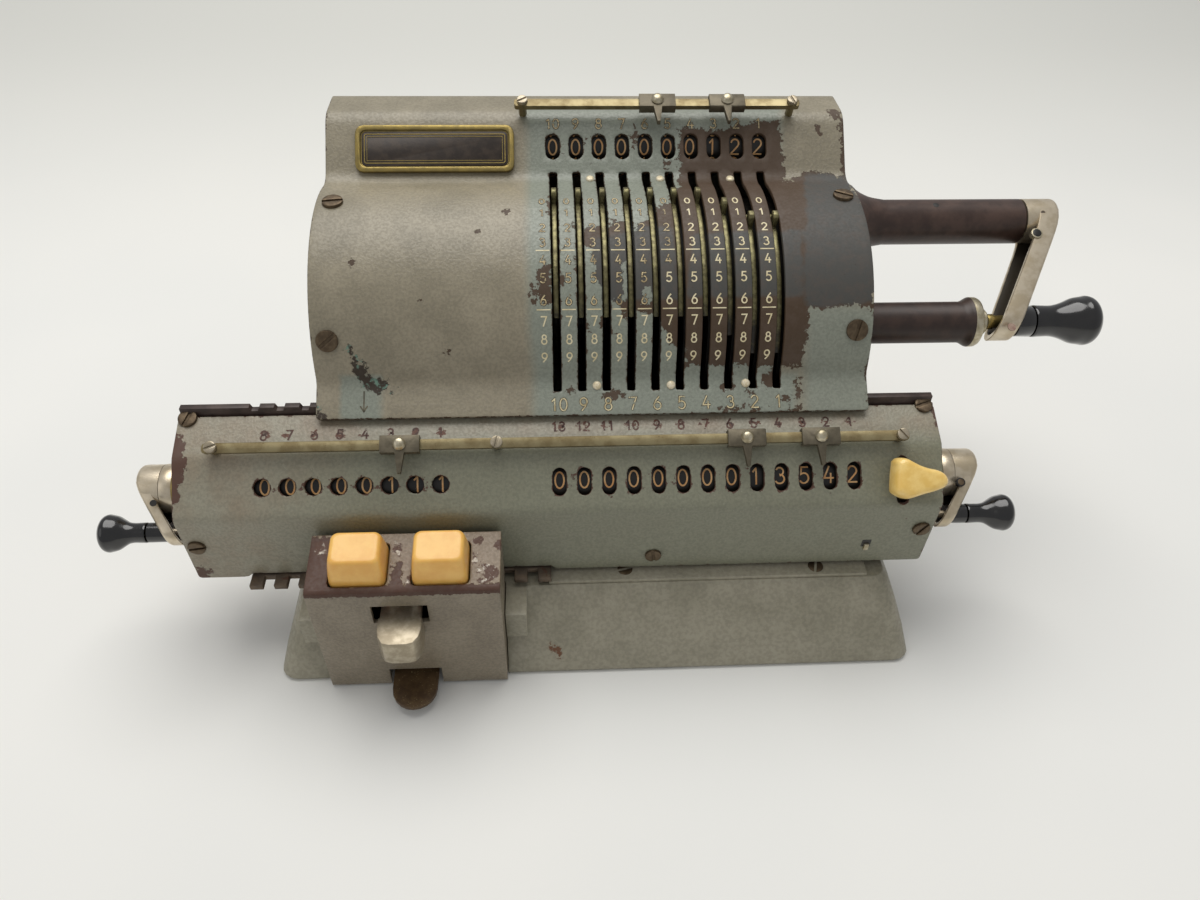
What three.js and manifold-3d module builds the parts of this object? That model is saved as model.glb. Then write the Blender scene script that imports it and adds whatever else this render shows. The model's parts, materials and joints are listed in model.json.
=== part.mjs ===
// Pinwheel calculator: a hand-cranked four-function calculating machine.
// Millimetres, +Z up, +X to the operator's right, +Y away from the operator.
// The origin lies on the table, under the middle of the base.
import * as THREE from "three";
import { mergeVertices } from "three/addons/utils/BufferGeometryUtils.js";
import Module from "manifold-3d";

const wasm = await Module();
wasm.setup();

// Driving dimensions: shared fits
const gap = 0.3;              // between pieces that rest on or beside each other
const runningGap = 0.3;       // round a shaft in its hole, on the radius
const sheet = 1.4;            // thickness of the pressed covers
const pitch = 7.5;            // from one decimal place to the next

// Driving dimensions: digits
const columns = 10;           // setting levers and setting dials
const resultDigits = 13;
const counterDigits = 8;
const firstColumnX = 55;      // setting lever of the units
const carriageShift = 3;      // steps that the carriage stands to the right of its home place
const counterUnitsX = -48;    // counter window of the units
const settings = [2, 2, 1, 0, 0, 0, 0, 0, 0, 0];

// Driving dimensions: rotor under the pinwheel cover
const rotorY = 18;
const rotorZ = 78;
const coverRadius = 43;       // outside of the bulge over the rotor
const leverProud = 1.8;       // lever tips stand this far out of the bulge
const tipRoom = 1.3;          // from a lever tip to the ends of its slot
const zeroAngle = 87.5;       // lever at 0, in degrees from the back
const digitStep = 8.4;        // degrees from one digit to the next
const slotWidth = 2.5;
const leverThickness = 1.6;
const leverRimRadius = 40.3;
const leverRimSweep = 60;     // degrees of raised rim behind each tip
const leverRingRadius = 18;
const tipWidth = 3.2;
const sleeveRadius = 14;
const discRadius = 37.3;
const discThickness = 3.4;
const discOffset = 3.1;       // middle of a disc, to the right of its lever
const pinLength = 3.2;
const pinWidth = 2;
const rotorShaftRadius = 4;

// Driving dimensions: pinwheel cover
const coverLeftX = -85;
const coverRightX = 83.3;
const lowerCreaseAngle = 172.8;
const flangeSlope = 36;
const flangeLength = 11.5;
const upperCreaseAngle = 74;
const panelSlope = 43;
const panelLength = 19.2;
const panelRise = 0.5;        // from the crease corner to the start of the flat panel
const topRound = 8;
const rearRound = 5;
const coverRearY = 66.6;
const windowAlongPanel = 11.4; // middle of the setting windows, up the panel
const windowWidth = 4.6;
const windowHeight = 8.4;

// Driving dimensions: nameplate, left bare
const plateWidth = 50.4;
const plateHeight = 15.2;
const plateLeftX = -75.3;
const plateFromCrease = 3;
const plateThickness = 1;
const plateRim = 1.6;
const plateRimHeight = 0.7;
const plateCorner = 2.6;

// Driving dimensions: setting dials
const settingDialRadius = 9.3;
const settingDialWidth = 6.2;
const dialRoom = 0.8;         // from a dial to the sheet over it
const settingShaftRadius = 2;

// Driving dimensions: base and frames
const baseLength = 207;
const baseDepth = 150;
const baseHeight = 27;
const baseCorner = 5;
const baseWall = 3;
const baseFoot = 1.6;         // upright lip along the table
const baseSideDraw = 9;       // the sides lean in by this much
const baseFrontDraw = 14;
const baseRearDraw = 5;
const bottomPlateThickness = 1.6;
const padWidth = 6.6;
const padFrontY = -71;
const padDepth = 12;
const padBottomZ = 13.5;
const frameThickness = 4;
const frameInset = 0.8;       // from the end of the covers to the frame
const frameFrontY = -26.6;
const rearCoverFoot = 3;      // the rear cover runs out by this much at its foot

// Driving dimensions: carriage
const carriageLeftX = -126.5;
const carriageRightX = 105;
const carriageFrontY = -56.2;
const carriageRearY = -27.4;
const carriageBottomZ = 29.6;
const carriageFrontLean = 0.8;
const carriageFrontHeight = 27.9;
const windowFacetLength = 18.3;
const windowFacetSlope = 45;
const topFacetLength = 14;
const topFacetSlope = 20.5;
const railThickness = 2;      // notched rail behind the carriage
const railTopZ = 77.8;
const railDepth = 7;
const notchDepth = 1.3;
const notchWidth = 4;
const notchMargin = 22;       // middle of the first notch, from the end of the carriage
const endPlateThickness = 5;
const endPlateInset = 0.6;
const floorThickness = 2;
const floorDrop = 0.4;        // carriage floor, below the edge of the carriage cover
const floorRearY = -30;
const bearingWallX = -31;
const bearingWallThickness = 5;
const bossRadius = 7.5;
const bossLength = 6.5;

// Driving dimensions: registers in the carriage
const registerDialRadius = 12;
const registerDialWidth = 6.2;
const registerGroove = 1.2;
const registerShaftRadius = 3;
const resultWindowWidth = 4.2;
const resultWindowHeight = 8.4;
const counterWindowWidth = 5.2;
const windowUpFacet = 9.4;    // middle of the register windows, up the facet

// Driving dimensions: step rack and guide rail
const rackTeeth = 13;
const rackUnitsX = -17.75;    // last tooth on the right
const rackToothWidth = 4.2;
const rackFrontY = -60;
const rackToothLength = 4;
const rackThickness = 2;
const rackDrop = 0.4;         // rack, below the carriage floor
const rackNotch = 1.6;        // the cover's edge is raised over the rack
const guideLeftX = -88;
const guideRightX = 87;
const guideFrontY = -59.5;
const guideDepth = 15;
const guideThickness = 1.4;
const guideRibDepth = 3;
const rearRibY = -33;

// Driving dimensions: crank
const gearTeeth = 14;
const idlerTeeth = 10;
const idlerStudRadius = 1.8;
const gearWidth = 5;
const gearFromFrame = 4;
const gearBacklash = 0.6;
const toothFlank = 24;        // slope of a tooth's side, in degrees
const toothTop = 0.75;        // height of a tooth over its pitch circle, in modules
const toothRoot = 1.1;
const rootGap = 0.04;         // least half angle between two teeth at their roots, in radians
const crankDistance = 29.8;   // from the rotor to the crank shaft
const crankAngle = 74.4;      // direction from the rotor to the crank shaft
const crankShaftRadius = 4;
const tubeRadius = 7.25;
const tubeEndX = 142.6;
const tubeSeatRadius = 11;
const tubeFlareRadius = 12.5;
const tubeFlareLength = 12;
const hubLength = 11.1;
const hubBlind = 3;           // closed end of the hub, beyond the shaft
const hubReach = 12.5;        // from the crank shaft to the lower end of the hub
const handleDrop = 205.6;     // direction from the crank shaft to the handle
const handleReach = 37.7;
const armBend = 8;            // from here on the arm leans in towards the machine
const armLean = 0.605;        // by this much, for each millimetre along it
const armEnd = 42;
const armHalfFoot = 6.1;      // half the arm's width at its end
const armWall = 1.5;
const armWeb = 1.8;
const armDepth = 9;
const locatingPinRadius = 2;
const locatingCollarRadius = 2.5;
const locatingCollarLength = 2;
const stopTubeRadius = 6.5;
const stopTubeSetback = 25;    // from the end of the crank's tube back to the stop tube's collar
const stopCollarLength = 3.8;
const stopCollarRadius = 7.8;
const stopBossRadius = 3.8;
const stopBossLength = 2.8;
const gripBeyondHub = 7.5;
const gripRadius = 7.9;
const gripNeckRadius = 5;
const gripStudLength = 10;

// Driving dimensions: clearing cranks
const clearHubRadius = 5.6;
const clearHubLength = 8.8;
const clearReach = 13.8;
const clearDrop = 206.7;
const clearArmWidth = 11;
const clearArmWall = 1.3;
const clearArmDepth = 6.2;
const clearFootOffset = 6.6;  // outside of the arm's foot, from the end of the carriage
const clearFootLength = 4.6;
const clearGripTip = 26.7;    // end of a grip, from the end of the carriage
const clearGripRadius = 5.8;
const clearGripNeckRadius = 3;
const clearStudRadius = 1.2;
const clearStudLength = 9;

// Driving dimensions: key box
const keyBoxLeftX = -86.6;
const keyBoxRightX = -30.4;
const keyBoxFrontY = -77.6;
const keyBoxDepth = 19.4;
const keyBoxFrontHeight = 48.6;
const keyBoxBottomZ = 1;
const keyBoxWall = 1.6;
const keyBoxSlope = 10;
const keyLeftX = -71.7;
const keyRightX = -47.8;
const keyWidth = 16.2;
const keyDepth = 13.6;
const keyHeight = 8.6;
const keyTopWidth = 14.8;
const keyTopDepth = 11;
const keyTopBack = 0.9;       // the top of a key leans back by this much
const keyRound = 1.1;
const keySkirt = 5;
const keyStemWidth = 6;
const keyStemDepth = 3;
const keyStemLength = 8;
const keyFromFront = 9.4;     // middle of a key, from the front of the box
const keyClearance = 0.5;
const releaseX = -60.3;
const releaseWidth = 12.8;
const releaseProud = 10.3;
const releaseTopZ = 37.6;
const releaseSkirt = 9.6;
const releasePlate = 2.2;
const releasePivotDepth = 16.5;
const releaseSlotWidth = 16.5;
const releaseSlotBottomZ = 34;
const releaseSlotTopZ = 42;
const tongueX = -59.3;
const tongueWidth = 14;
const tongueProud = 11.8;
const tongueZ = 4;
const tongueThickness = 1.8;
const tongueSlotWidth = 16.4;
const tongueSlotTopZ = 9;
const trunnionRadius = 1.8;

// Driving dimensions: marker bars, markers, transfer lever, bell
const barWidth = 3;
const barHeight = 1.6;
const topBarStandOff = 4;
const carriageBarStandOff = 2.8;
const carriageBarUp = 2.2;    // foot of the carriage's bar, up the top facet
const postRadius = 1.3;
const postHeadRadius = 1.7;
const topBarLeftX = -24.5;
const topBarRightX = 67.5;
const topBarPosts = [-21.9, 65];
const topMarkers = [21.25, 43.75];
const topMarkerTravel = 10;
const carriageBarLeftX = -116.5;
const carriageBarRightX = 93.5;
const carriageBarPosts = [-113.7, -30.9, 91.2];
const carriageMarkers = [-59.25, 43.75, 66.25];
const markerWidth = 11.6;
const markerWall = 0.8;
const pointerWidth = 3;
const pointerLength = 7;
const transferX = 92.3;
const transferSlotWidth = 3.6;
const transferThickness = 2.6;
const transferKnobLength = 13.4;
const transferStandOff = 3.2; // from the carriage cover to the underside of the knob
const transferKnobProud = 7;
const transferRest = 1.6;     // where the lever leaves its slot, up from the windows
const transferSlotLength = 14.8;
const transferSlotOffset = -1.8; // middle of the slot, up from the windows
const bellX = -52;
const bellY = 22;
const bellRadius = 15;
const bellPostRadius = 2.5;
const bellPostHeight = 22;
const transferGearRadius = 7;
const transferGearTeeth = 6;
const transferGearWidth = 2.6;
const transferShaftRadius = 2;

// Colours
const finish = {
  grey: [0x8b8577, 0.6, 0.1],
  baseGrey: [0x7f7d70, 0.65, 0.1],
  boxGrey: [0x77736a, 0.6, 0.1],
  steel: [0x9a948a, 0.4, 0.8],
  brass: [0xa08a5a, 0.4, 0.8],
  nickel: [0xa39b8c, 0.35, 0.9],
  brown: [0x4a3a38, 0.6, 0.2],
  black: [0x111114, 0.15, 0],
  dial: [0x1a1917, 0.5, 0],
  cream: [0xf0c87c, 0.3, 0],
  rust: [0x5a3a2a, 0.8, 0.3],
  dark: [0x3a3835, 0.5, 0.6],
};

const radians = THREE.MathUtils.degToRad;
const calculator = new THREE.Group();

// A closed geometry as a solid: vertices merged, slivers of no area left out, faces outwards.
function solid(geometry) {
  const bare = geometry.clone();
  for (const name of Object.keys(bare.attributes)) {
    if (name !== "position") bare.deleteAttribute(name);
  }
  const merged = mergeVertices(bare, 1e-4);
  const points = merged.attributes.position;
  const triangles = [];
  let volume = 0;
  const corners = [new THREE.Vector3(), new THREE.Vector3(), new THREE.Vector3()];
  for (let i = 0; i < merged.index.count; i += 3) {
    const face = [0, 1, 2].map((k) => merged.index.getX(i + k));
    if (new Set(face).size < 3) continue;
    face.forEach((vertex, k) => corners[k].fromBufferAttribute(points, vertex));
    volume += corners[0].dot(corners[1].clone().cross(corners[2]));
    triangles.push(face);
  }
  if (volume < 0) triangles.forEach((face) => face.reverse());
  return new wasm.Manifold(new wasm.Mesh({
    numProp: 3,
    vertProperties: new Float32Array(points.array),
    triVerts: new Uint32Array(triangles.flat()),
  }));
}

function geometryOf(body) {
  const mesh = body.getMesh();
  const geometry = new THREE.BufferGeometry();
  geometry.setAttribute("position", new THREE.Float32BufferAttribute(mesh.vertProperties, mesh.numProp));
  geometry.setIndex(new THREE.Uint32BufferAttribute(mesh.triVerts, 1));
  geometry.computeVertexNormals();
  return geometry;
}

function add(name, body, look, parent = calculator) {
  const [color, roughness, metalness] = finish[look];
  const mesh = new THREE.Mesh(geometryOf(body), new THREE.MeshStandardMaterial({ color, roughness, metalness }));
  mesh.name = name;
  parent.add(mesh);
  return mesh;
}

function extrude(outline, depth, matrix) {
  const shape = new THREE.Shape(outline.map(([a, b]) => new THREE.Vector2(a, b)));
  const geometry = new THREE.ExtrudeGeometry(shape, { depth, bevelEnabled: false });
  return solid(geometry.applyMatrix4(matrix));
}

const vector = (x, y, z) => new THREE.Vector3(x, y, z);

function place(u, v, w, origin) {
  return new THREE.Matrix4().makeBasis(u, v, w).setPosition(origin);
}

// An outline of [y, z] points carried along X.
function across(outline, fromX, toX) {
  return extrude(outline, toX - fromX, place(vector(0, 1, 0), vector(0, 0, 1), vector(1, 0, 0), vector(fromX, 0, 0)));
}

// An outline of [x, y] points carried along Z.
function upright(outline, fromZ, toZ) {
  return extrude(outline, toZ - fromZ, place(vector(1, 0, 0), vector(0, 1, 0), vector(0, 0, 1), vector(0, 0, fromZ)));
}

function box(x0, x1, y0, y1, z0, z1) {
  const geometry = new THREE.BoxGeometry(x1 - x0, y1 - y0, z1 - z0);
  return solid(geometry.translate((x0 + x1) / 2, (y0 + y1) / 2, (z0 + z1) / 2));
}

// A profile of [radius, x] points turned about an axis along X through y, z.
function turned(profile, y, z, segments = 20) {
  const points = profile.map(([radius, x]) => new THREE.Vector2(radius, x));
  const geometry = new THREE.LatheGeometry(points, segments);
  return solid(geometry.rotateZ(-Math.PI / 2).translate(0, y, z));
}

function rod(radius, fromX, toX, y, z, segments = 16) {
  return turned([[0, fromX], [radius, fromX], [radius, toX], [0, toX]], y, z, segments);
}

function ring(inner, outer, fromX, toX, y, z, segments = 20) {
  return turned([[inner, fromX], [outer, fromX], [outer, toX], [inner, toX], [inner, fromX]], y, z, segments);
}

// Points on a circle, from one angle to another, in degrees from +Y towards +Z.
function arc(y, z, radius, from, to, steps) {
  return Array.from({ length: steps + 1 }, (_, i) => {
    const angle = radians(from + ((to - from) * i) / steps);
    return [y + radius * Math.cos(angle), z + radius * Math.sin(angle)];
  });
}

// The same path moved sideways by a distance, with its corners mitred.
function offset(path, distance) {
  const normals = path.slice(1).map(([y, z], i) => {
    const [y0, z0] = path[i];
    const length = Math.hypot(y - y0, z - z0);
    return [(z - z0) / length, (y0 - y) / length];
  });
  return path.map(([y, z], i) => {
    const before = normals[Math.max(i - 1, 0)];
    const after = normals[Math.min(i, normals.length - 1)];
    const share = distance / (1 + before[0] * after[0] + before[1] * after[1]);
    return [y + (before[0] + after[0]) * share, z + (before[1] + after[1]) * share];
  });
}

// A sheet of even thickness, whose outside follows a path.
const sheetOutline = (path, thickness) => [...path, ...offset(path, thickness).reverse()];

function roundedRectangle(x0, x1, y0, y1, radius, steps = 3) {
  return [
    ...arc(x1 - radius, y0 + radius, radius, -90, 0, steps),
    ...arc(x1 - radius, y1 - radius, radius, 0, 90, steps),
    ...arc(x0 + radius, y1 - radius, radius, 90, 180, steps),
    ...arc(x0 + radius, y0 + radius, radius, 180, 270, steps),
  ];
}

const roundedSlot = (width, height, steps) => [
  ...arc(0, (height - width) / 2, width / 2, 0, 180, steps),
  ...arc(0, -(height - width) / 2, width / 2, 180, 360, steps),
];

// A solid through rings of equally many [x, y, z] points, closed flat at both ends.
function loft(rings) {
  const count = rings[0].length;
  const positions = rings.flat(2);
  const index = [];
  for (let level = 0; level < rings.length - 1; level += 1) {
    for (let i = 0; i < count; i += 1) {
      const a = level * count + i;
      const b = level * count + ((i + 1) % count);
      index.push(a, b, b + count, a, b + count, a + count);
    }
  }
  const top = (rings.length - 1) * count;
  for (let i = 1; i < count - 1; i += 1) {
    index.push(0, i + 1, i, top, top + i, top + i + 1);
  }
  const geometry = new THREE.BufferGeometry();
  geometry.setAttribute("position", new THREE.Float32BufferAttribute(positions, 3));
  geometry.setIndex(index);
  return solid(geometry);
}

// A local frame on a sloping face that runs along X: u along X, v up the slope, n outwards.
function slopingFace(y, z, slope) {
  const v = vector(0, Math.cos(radians(slope)), Math.sin(radians(slope)));
  const n = vector(0, -v.z, v.y);
  const at = (x, up, out) => vector(x, y + up * v.y + out * n.y, z + up * v.z + out * n.z);
  return { v, n, at };
}

function plug(outline, face, x, up, fromOut, toOut) {
  return extrude(outline, toOut - fromOut, place(vector(1, 0, 0), face.v, face.n, face.at(x, up, fromOut)));
}

const union = (bodies) => bodies.reduce((whole, body) => whole.add(body));

// The pinwheel cover's outside, from its lower edge in front, over the bulge, to its rear edge.
const [lowerCrease] = arc(rotorY, rotorZ, coverRadius, lowerCreaseAngle, upperCreaseAngle, 1);
const lowerEdge = [
  lowerCrease[0] - flangeLength * Math.cos(radians(flangeSlope)),
  lowerCrease[1] - flangeLength * Math.sin(radians(flangeSlope)),
];
const bulge = arc(rotorY, rotorZ, coverRadius, lowerCreaseAngle, upperCreaseAngle, 12);
const bulgeEnd = bulge[bulge.length - 1];
const creaseCorner = [
  bulgeEnd[0] + 2.1 * Math.sin(radians(upperCreaseAngle)),
  bulgeEnd[1] - 2.1 * Math.cos(radians(upperCreaseAngle)),
];
const panel = slopingFace(creaseCorner[0], creaseCorner[1], panelSlope);
const onPanel = (up, out = 0) => [panel.at(0, up, out).y, panel.at(0, up, out).z];
const panelEnd = onPanel(panelLength);
const topArcY = panelEnd[0] + topRound * Math.sin(radians(panelSlope));
const coverTopZ = panelEnd[1] + topRound * (1 - Math.cos(radians(panelSlope)));
const coverPath = [
  lowerEdge,
  ...bulge,
  onPanel(panelRise + 1.6),
  ...arc(topArcY, coverTopZ - topRound, topRound, 90 + panelSlope, 90, 4),
  ...arc(coverRearY - rearRound, coverTopZ - rearRound, rearRound, 90, 0, 4),
  [coverRearY, coverTopZ - rearRound - 4],
];
const coverRearEdgeZ = coverTopZ - rearRound - 4;
const coverInside = offset(coverPath, sheet);

const columnX = (column) => firstColumnX - pitch * column;
const tipRadius = coverRadius + leverProud;

function pinwheelCover() {
  let body = across(sheetOutline(coverPath, sheet), coverLeftX, coverRightX);
  const slotReach = tipRadius + tipRoom;
  for (let column = 0; column < columns; column += 1) {
    const x = columnX(column);
    body = body.subtract(rod(slotReach, x - slotWidth / 2, x + slotWidth / 2, rotorY, rotorZ, 32));
    const oval = roundedSlot(windowWidth, windowHeight, 3);
    body = body.subtract(plug(oval, panel, x, windowAlongPanel, -sheet - 1, 1));
  }
  return body;
}

// The nameplate is bare: a rim round a plain field.
function nameplate() {
  const face = slopingFace(...onPanel(plateFromCrease), panelSlope);
  const outline = (inset) => roundedRectangle(inset, plateWidth - inset, inset, plateHeight - inset, plateCorner - inset / 2);
  const plate = plug(outline(0), face, plateLeftX, 0, 0, plateThickness + plateRimHeight);
  return plate.subtract(plug(outline(plateRim), face, plateLeftX, 0, plateThickness, plateThickness + 2));
}

// Equal gears on the crank shaft and the rotor, with an idler half-way between them.
const gearModule = crankDistance / (gearTeeth + idlerTeeth);
const [crankY, crankZ] = arc(rotorY, rotorZ, crankDistance, crankAngle, crankAngle, 1)[0];
const [idlerY, idlerZ] = arc(rotorY, rotorZ, crankDistance / 2, crankAngle, crankAngle, 1)[0];
const frameOuterRightX = coverRightX - frameInset;
const frameInnerRightX = frameOuterRightX - frameThickness;
const frameOuterLeftX = coverLeftX + frameInset;
const frameInnerLeftX = frameOuterLeftX + frameThickness;
const gearX = frameInnerRightX - gearFromFrame - gearWidth;

// Straight-flanked teeth on a pitch radius; turn is the angle of the middle of a tooth, in degrees.
function gearOutline(y, z, teeth, radius, module, turn) {
  const half = (Math.PI * module) / 4 - gearBacklash / 2;
  const flank = Math.tan(radians(toothFlank));
  const outline = [];
  for (let tooth = 0; tooth < teeth; tooth += 1) {
    const middle = radians(turn) + (2 * Math.PI * tooth) / teeth;
    const corner = (out, side) => {
      const reach = radius + out * module;
      const spread = Math.min((half - out * module * flank) / reach, Math.PI / teeth - rootGap);
      const angle = middle + side * spread;
      outline.push([y + reach * Math.cos(angle), z + reach * Math.sin(angle)]);
    };
    corner(-toothRoot, -1);
    corner(toothTop, -1);
    corner(toothTop, 1);
    corner(-toothRoot, 1);
  }
  return outline;
}

function driveGear(y, z, teeth, turn) {
  const outline = gearOutline(y, z, teeth, (teeth * gearModule) / 2, gearModule, turn);
  return across(outline, gearX, gearX + gearWidth);
}

// The setting dials stand behind the windows, clear of the panel and of the lever tips.
function settingDialAxis() {
  const [y, z] = onPanel(windowAlongPanel, -(sheet + dialRoom + settingDialRadius));
  const reach = tipRadius + dialRoom / 2 + settingDialRadius;
  let along = 0;
  while (Math.hypot(y + along * panel.v.y - rotorY, z + along * panel.v.z - rotorZ) < reach) along += 0.05;
  return [y + along * panel.v.y, z + along * panel.v.z];
}
const [settingY, settingZ] = settingDialAxis();

// Carriage: outside of its cover from the lower front edge to the rear edge.
const carriageCrease = [carriageFrontY, carriageBottomZ + carriageFrontHeight];
const windowFacet = slopingFace(...carriageCrease, windowFacetSlope);
const barFoot = [windowFacet.at(0, windowFacetLength, 0).y, windowFacet.at(0, windowFacetLength, 0).z];
const topFacet = slopingFace(...barFoot, topFacetSlope);
const carriageRearEdge = [topFacet.at(0, topFacetLength, 0).y, topFacet.at(0, topFacetLength, 0).z];
const carriagePath = [
  [carriageFrontY + carriageFrontLean, carriageBottomZ],
  carriageCrease,
  barFoot,
  carriageRearEdge,
];
const carriageInside = offset(carriagePath, sheet);
const registerAxis = windowFacet.at(0, windowUpFacet, -(sheet + dialRoom + registerDialRadius));
const registerY = registerAxis.y;
const registerZ = registerAxis.z;
const resultX = (digit) => firstColumnX + pitch * (carriageShift - digit);
const counterX = (digit) => counterUnitsX - pitch * digit;
const floorTopZ = carriageBottomZ - floorDrop + floorThickness;
const floorBottomZ = carriageBottomZ - floorDrop;
const floorFrontY = carriageInside[0][0] + gap;
const rackRearY = floorFrontY - gap;

// The transfer gears stand between the rotor's pins and the register dials.
function transferAxis() {
  const fromRotor = discRadius + pinLength + transferGearRadius + 1.3;
  const fromDials = registerDialRadius + transferGearRadius + 2 * gap;
  const apart = Math.hypot(rotorY - registerY, rotorZ - registerZ);
  const along = (fromRotor ** 2 - fromDials ** 2 + apart ** 2) / (2 * apart);
  const aside = Math.sqrt(Math.max(fromRotor ** 2 - along ** 2, 0));
  const [uy, uz] = [(registerY - rotorY) / apart, (registerZ - rotorZ) / apart];
  return [rotorY + along * uy - aside * uz, rotorZ + along * uz + aside * uy];
}
const [transferY, transferZ] = transferAxis();

// Side frames: plates inside the ends of the covers, which carry every shaft. The setting dials' shaft is
// fixed in the left one and the idler's stud in the right one.
const rearCoverPath = [
  [coverRearY, coverRearEdgeZ - gap],
  [coverRearY, rotorZ],
  [coverRearY + rearCoverFoot, baseHeight + gap],
];
function sideFrame(fromX, toX, isRight) {
  const outline = [
    ...offset(coverInside, gap),
    ...offset(rearCoverPath, sheet + gap),
    [lowerEdge[0], baseHeight],
  ];
  const front = box(fromX - 1, toX + 1, lowerEdge[0] - 9, frameFrontY, 0, coverTopZ);
  const under = box(fromX - 1, toX + 1, lowerEdge[0] - 9, coverRearY * 2, 0, baseHeight);
  let plate = across(outline, fromX, toX).subtract(front).subtract(under);
  const hole = (radius, y, z) => {
    plate = plate.subtract(rod(radius + runningGap, fromX - 1, toX + 1, y, z, 20));
  };
  hole(rotorShaftRadius, rotorY, rotorZ);
  hole(transferShaftRadius, transferY, transferZ);
  if (!isRight) {
    return plate.add(rod(settingShaftRadius, toX - 1, frameOuterRightX - gap, settingY, settingZ, 12));
  }
  hole(settingShaftRadius, settingY, settingZ);
  hole(crankShaftRadius, crankY, crankZ);
  return plate.add(rod(idlerStudRadius, gearX - gap, fromX + 1, idlerY, idlerZ, 12));
}

// Base: a shallow casting with leaning sides, open below, and its bottom plate.
function baseRing(z, inset) {
  const rise = Math.max(z - baseFoot, 0) / (baseHeight - baseFoot);
  const lean = rise ** 1.15;
  const side = inset + baseSideDraw * lean;
  return roundedRectangle(
    -baseLength / 2 + side,
    baseLength / 2 - side,
    -baseDepth / 2 + inset + baseFrontDraw * lean,
    baseDepth / 2 - inset - baseRearDraw * lean,
    baseCorner - inset / 2,
    4,
  ).map(([x, y]) => [x, y, z]);
}

function baseCasting() {
  const levels = [0, baseFoot, baseHeight * 0.35, baseHeight * 0.7, baseHeight * 0.93, baseHeight];
  const insets = [0.6, 0, 0, 0, 0.2, 1.2];
  let body = loft(levels.map((z, i) => baseRing(z, insets[i])));
  const inner = [-1, baseFoot, baseHeight - baseWall];
  body = body.subtract(loft(inner.map((z) => baseRing(Math.max(z, 0), baseWall).map(([x, y]) => [x, y, z]))));
  const pocketBack = keyBoxBackY + gap;
  body = body.subtract(box(keyBoxLeftX - gap, keyBoxRightX + gap, -baseDepth, pocketBack, -1, baseHeight + 1));
  const rib = box(guideLeftX, guideRightX, rearRibY, rearRibY + guideRibDepth, baseHeight - 1, floorBottomZ - gap);
  return union([
    body,
    rib,
    keyBoxPad(keyBoxLeftX - gap - padWidth, keyBoxLeftX - gap),
    keyBoxPad(keyBoxRightX + gap, keyBoxRightX + gap + padWidth),
  ]);
}

// A pad cast on the front of the base beside the key box.
function keyBoxPad(fromX, toX) {
  const outline = [
    [padFrontY, baseHeight],
    [padFrontY, padBottomZ + 2],
    [padFrontY + 2, padBottomZ],
    [padFrontY + padDepth, padBottomZ],
    [padFrontY + padDepth, baseHeight],
  ];
  return across(outline, fromX, toX);
}

function bottomPlate() {
  const outline = baseRing(0, baseWall + gap).map(([x, y]) => [x, y]);
  const pocketBack = keyBoxFrontY + keyBoxDepth + baseWall + gap;
  const plate = upright(outline, 0, bottomPlateThickness);
  const notch = box(keyBoxLeftX - baseWall, keyBoxRightX + baseWall, -baseDepth, pocketBack, -1, bottomPlateThickness + 1);
  return plate.subtract(notch);
}

function guideRail() {
  const strip = box(
    keyBoxRightX + 14, guideRightX, guideFrontY, guideFrontY + guideDepth, baseHeight, baseHeight + guideThickness,
  );
  const ribY = guideFrontY + guideDepth - guideRibDepth;
  return strip.add(box(guideLeftX, guideRightX, ribY, ribY + guideRibDepth, baseHeight, floorBottomZ - gap));
}

function rotor() {
  const leftX = frameOuterLeftX + gap;
  const rightX = frameOuterRightX - gap;
  const firstX = columnX(columns - 1) - leverThickness - 2;
  const lastX = columnX(0) + discOffset + discThickness / 2 + 1;
  let body = rod(rotorShaftRadius, leftX, rightX, rotorY, rotorZ);
  body = body.add(rod(sleeveRadius, firstX, lastX, rotorY, rotorZ, 12));
  for (let column = 0; column < columns; column += 1) {
    const fromX = columnX(column) + discOffset - discThickness / 2;
    body = body.add(rod(discRadius, fromX, fromX + discThickness, rotorY, rotorZ, 16));
    for (let pin = 0; pin < settings[column]; pin += 1) {
      body = body.add(settingPin(columnX(column) + discOffset, 200 + pin * 11));
    }
  }
  return body.add(driveGear(rotorY, rotorZ, gearTeeth, crankAngle));
}

// A piece with its outline in [along the radius, sideways], stood on the rotor at an angle.
function radial(outline, x, thickness, angle) {
  const out = vector(0, Math.cos(radians(angle)), Math.sin(radians(angle)));
  const side = vector(0, -out.z, out.y);
  const origin = vector(x - thickness / 2, rotorY, rotorZ);
  return extrude(outline, thickness, place(out, side, vector(1, 0, 0), origin));
}

function settingPin(x, angle) {
  const half = pinWidth / 2;
  const outline = [[discRadius - 2, -half], [discRadius + pinLength, -half], [discRadius + pinLength, half], [discRadius - 2, half]];
  return radial(outline, x, pinWidth, angle);
}

// A setting lever: a ring round the sleeve, a web out to a raised rim, and the tip that the finger moves.
function settingLever(column) {
  const x = columnX(column);
  const angle = zeroAngle + digitStep * settings[column];
  const half = leverThickness / 2;
  const hub = ring(sleeveRadius + 2 * gap, leverRingRadius, x - half, x + half, rotorY, rotorZ, 16);
  const web = across(
    [
      ...arc(rotorY, rotorZ, leverRingRadius - 1.5, angle - 6, angle + leverRimSweep, 4),
      ...arc(rotorY, rotorZ, leverRimRadius, angle + leverRimSweep, angle - 6, 6),
    ],
    x - half,
    x + half,
  );
  const root = leverRimRadius - 2;
  const side = tipWidth / 2;
  const tip = radial(
    [[root, -side], [tipRadius - 0.6, -side], [tipRadius, -side + 0.8], [tipRadius, side - 0.8], [tipRadius - 0.6, side], [root, side]],
    x,
    leverThickness,
    angle,
  );
  return union([hub, web, tip]);
}

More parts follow.
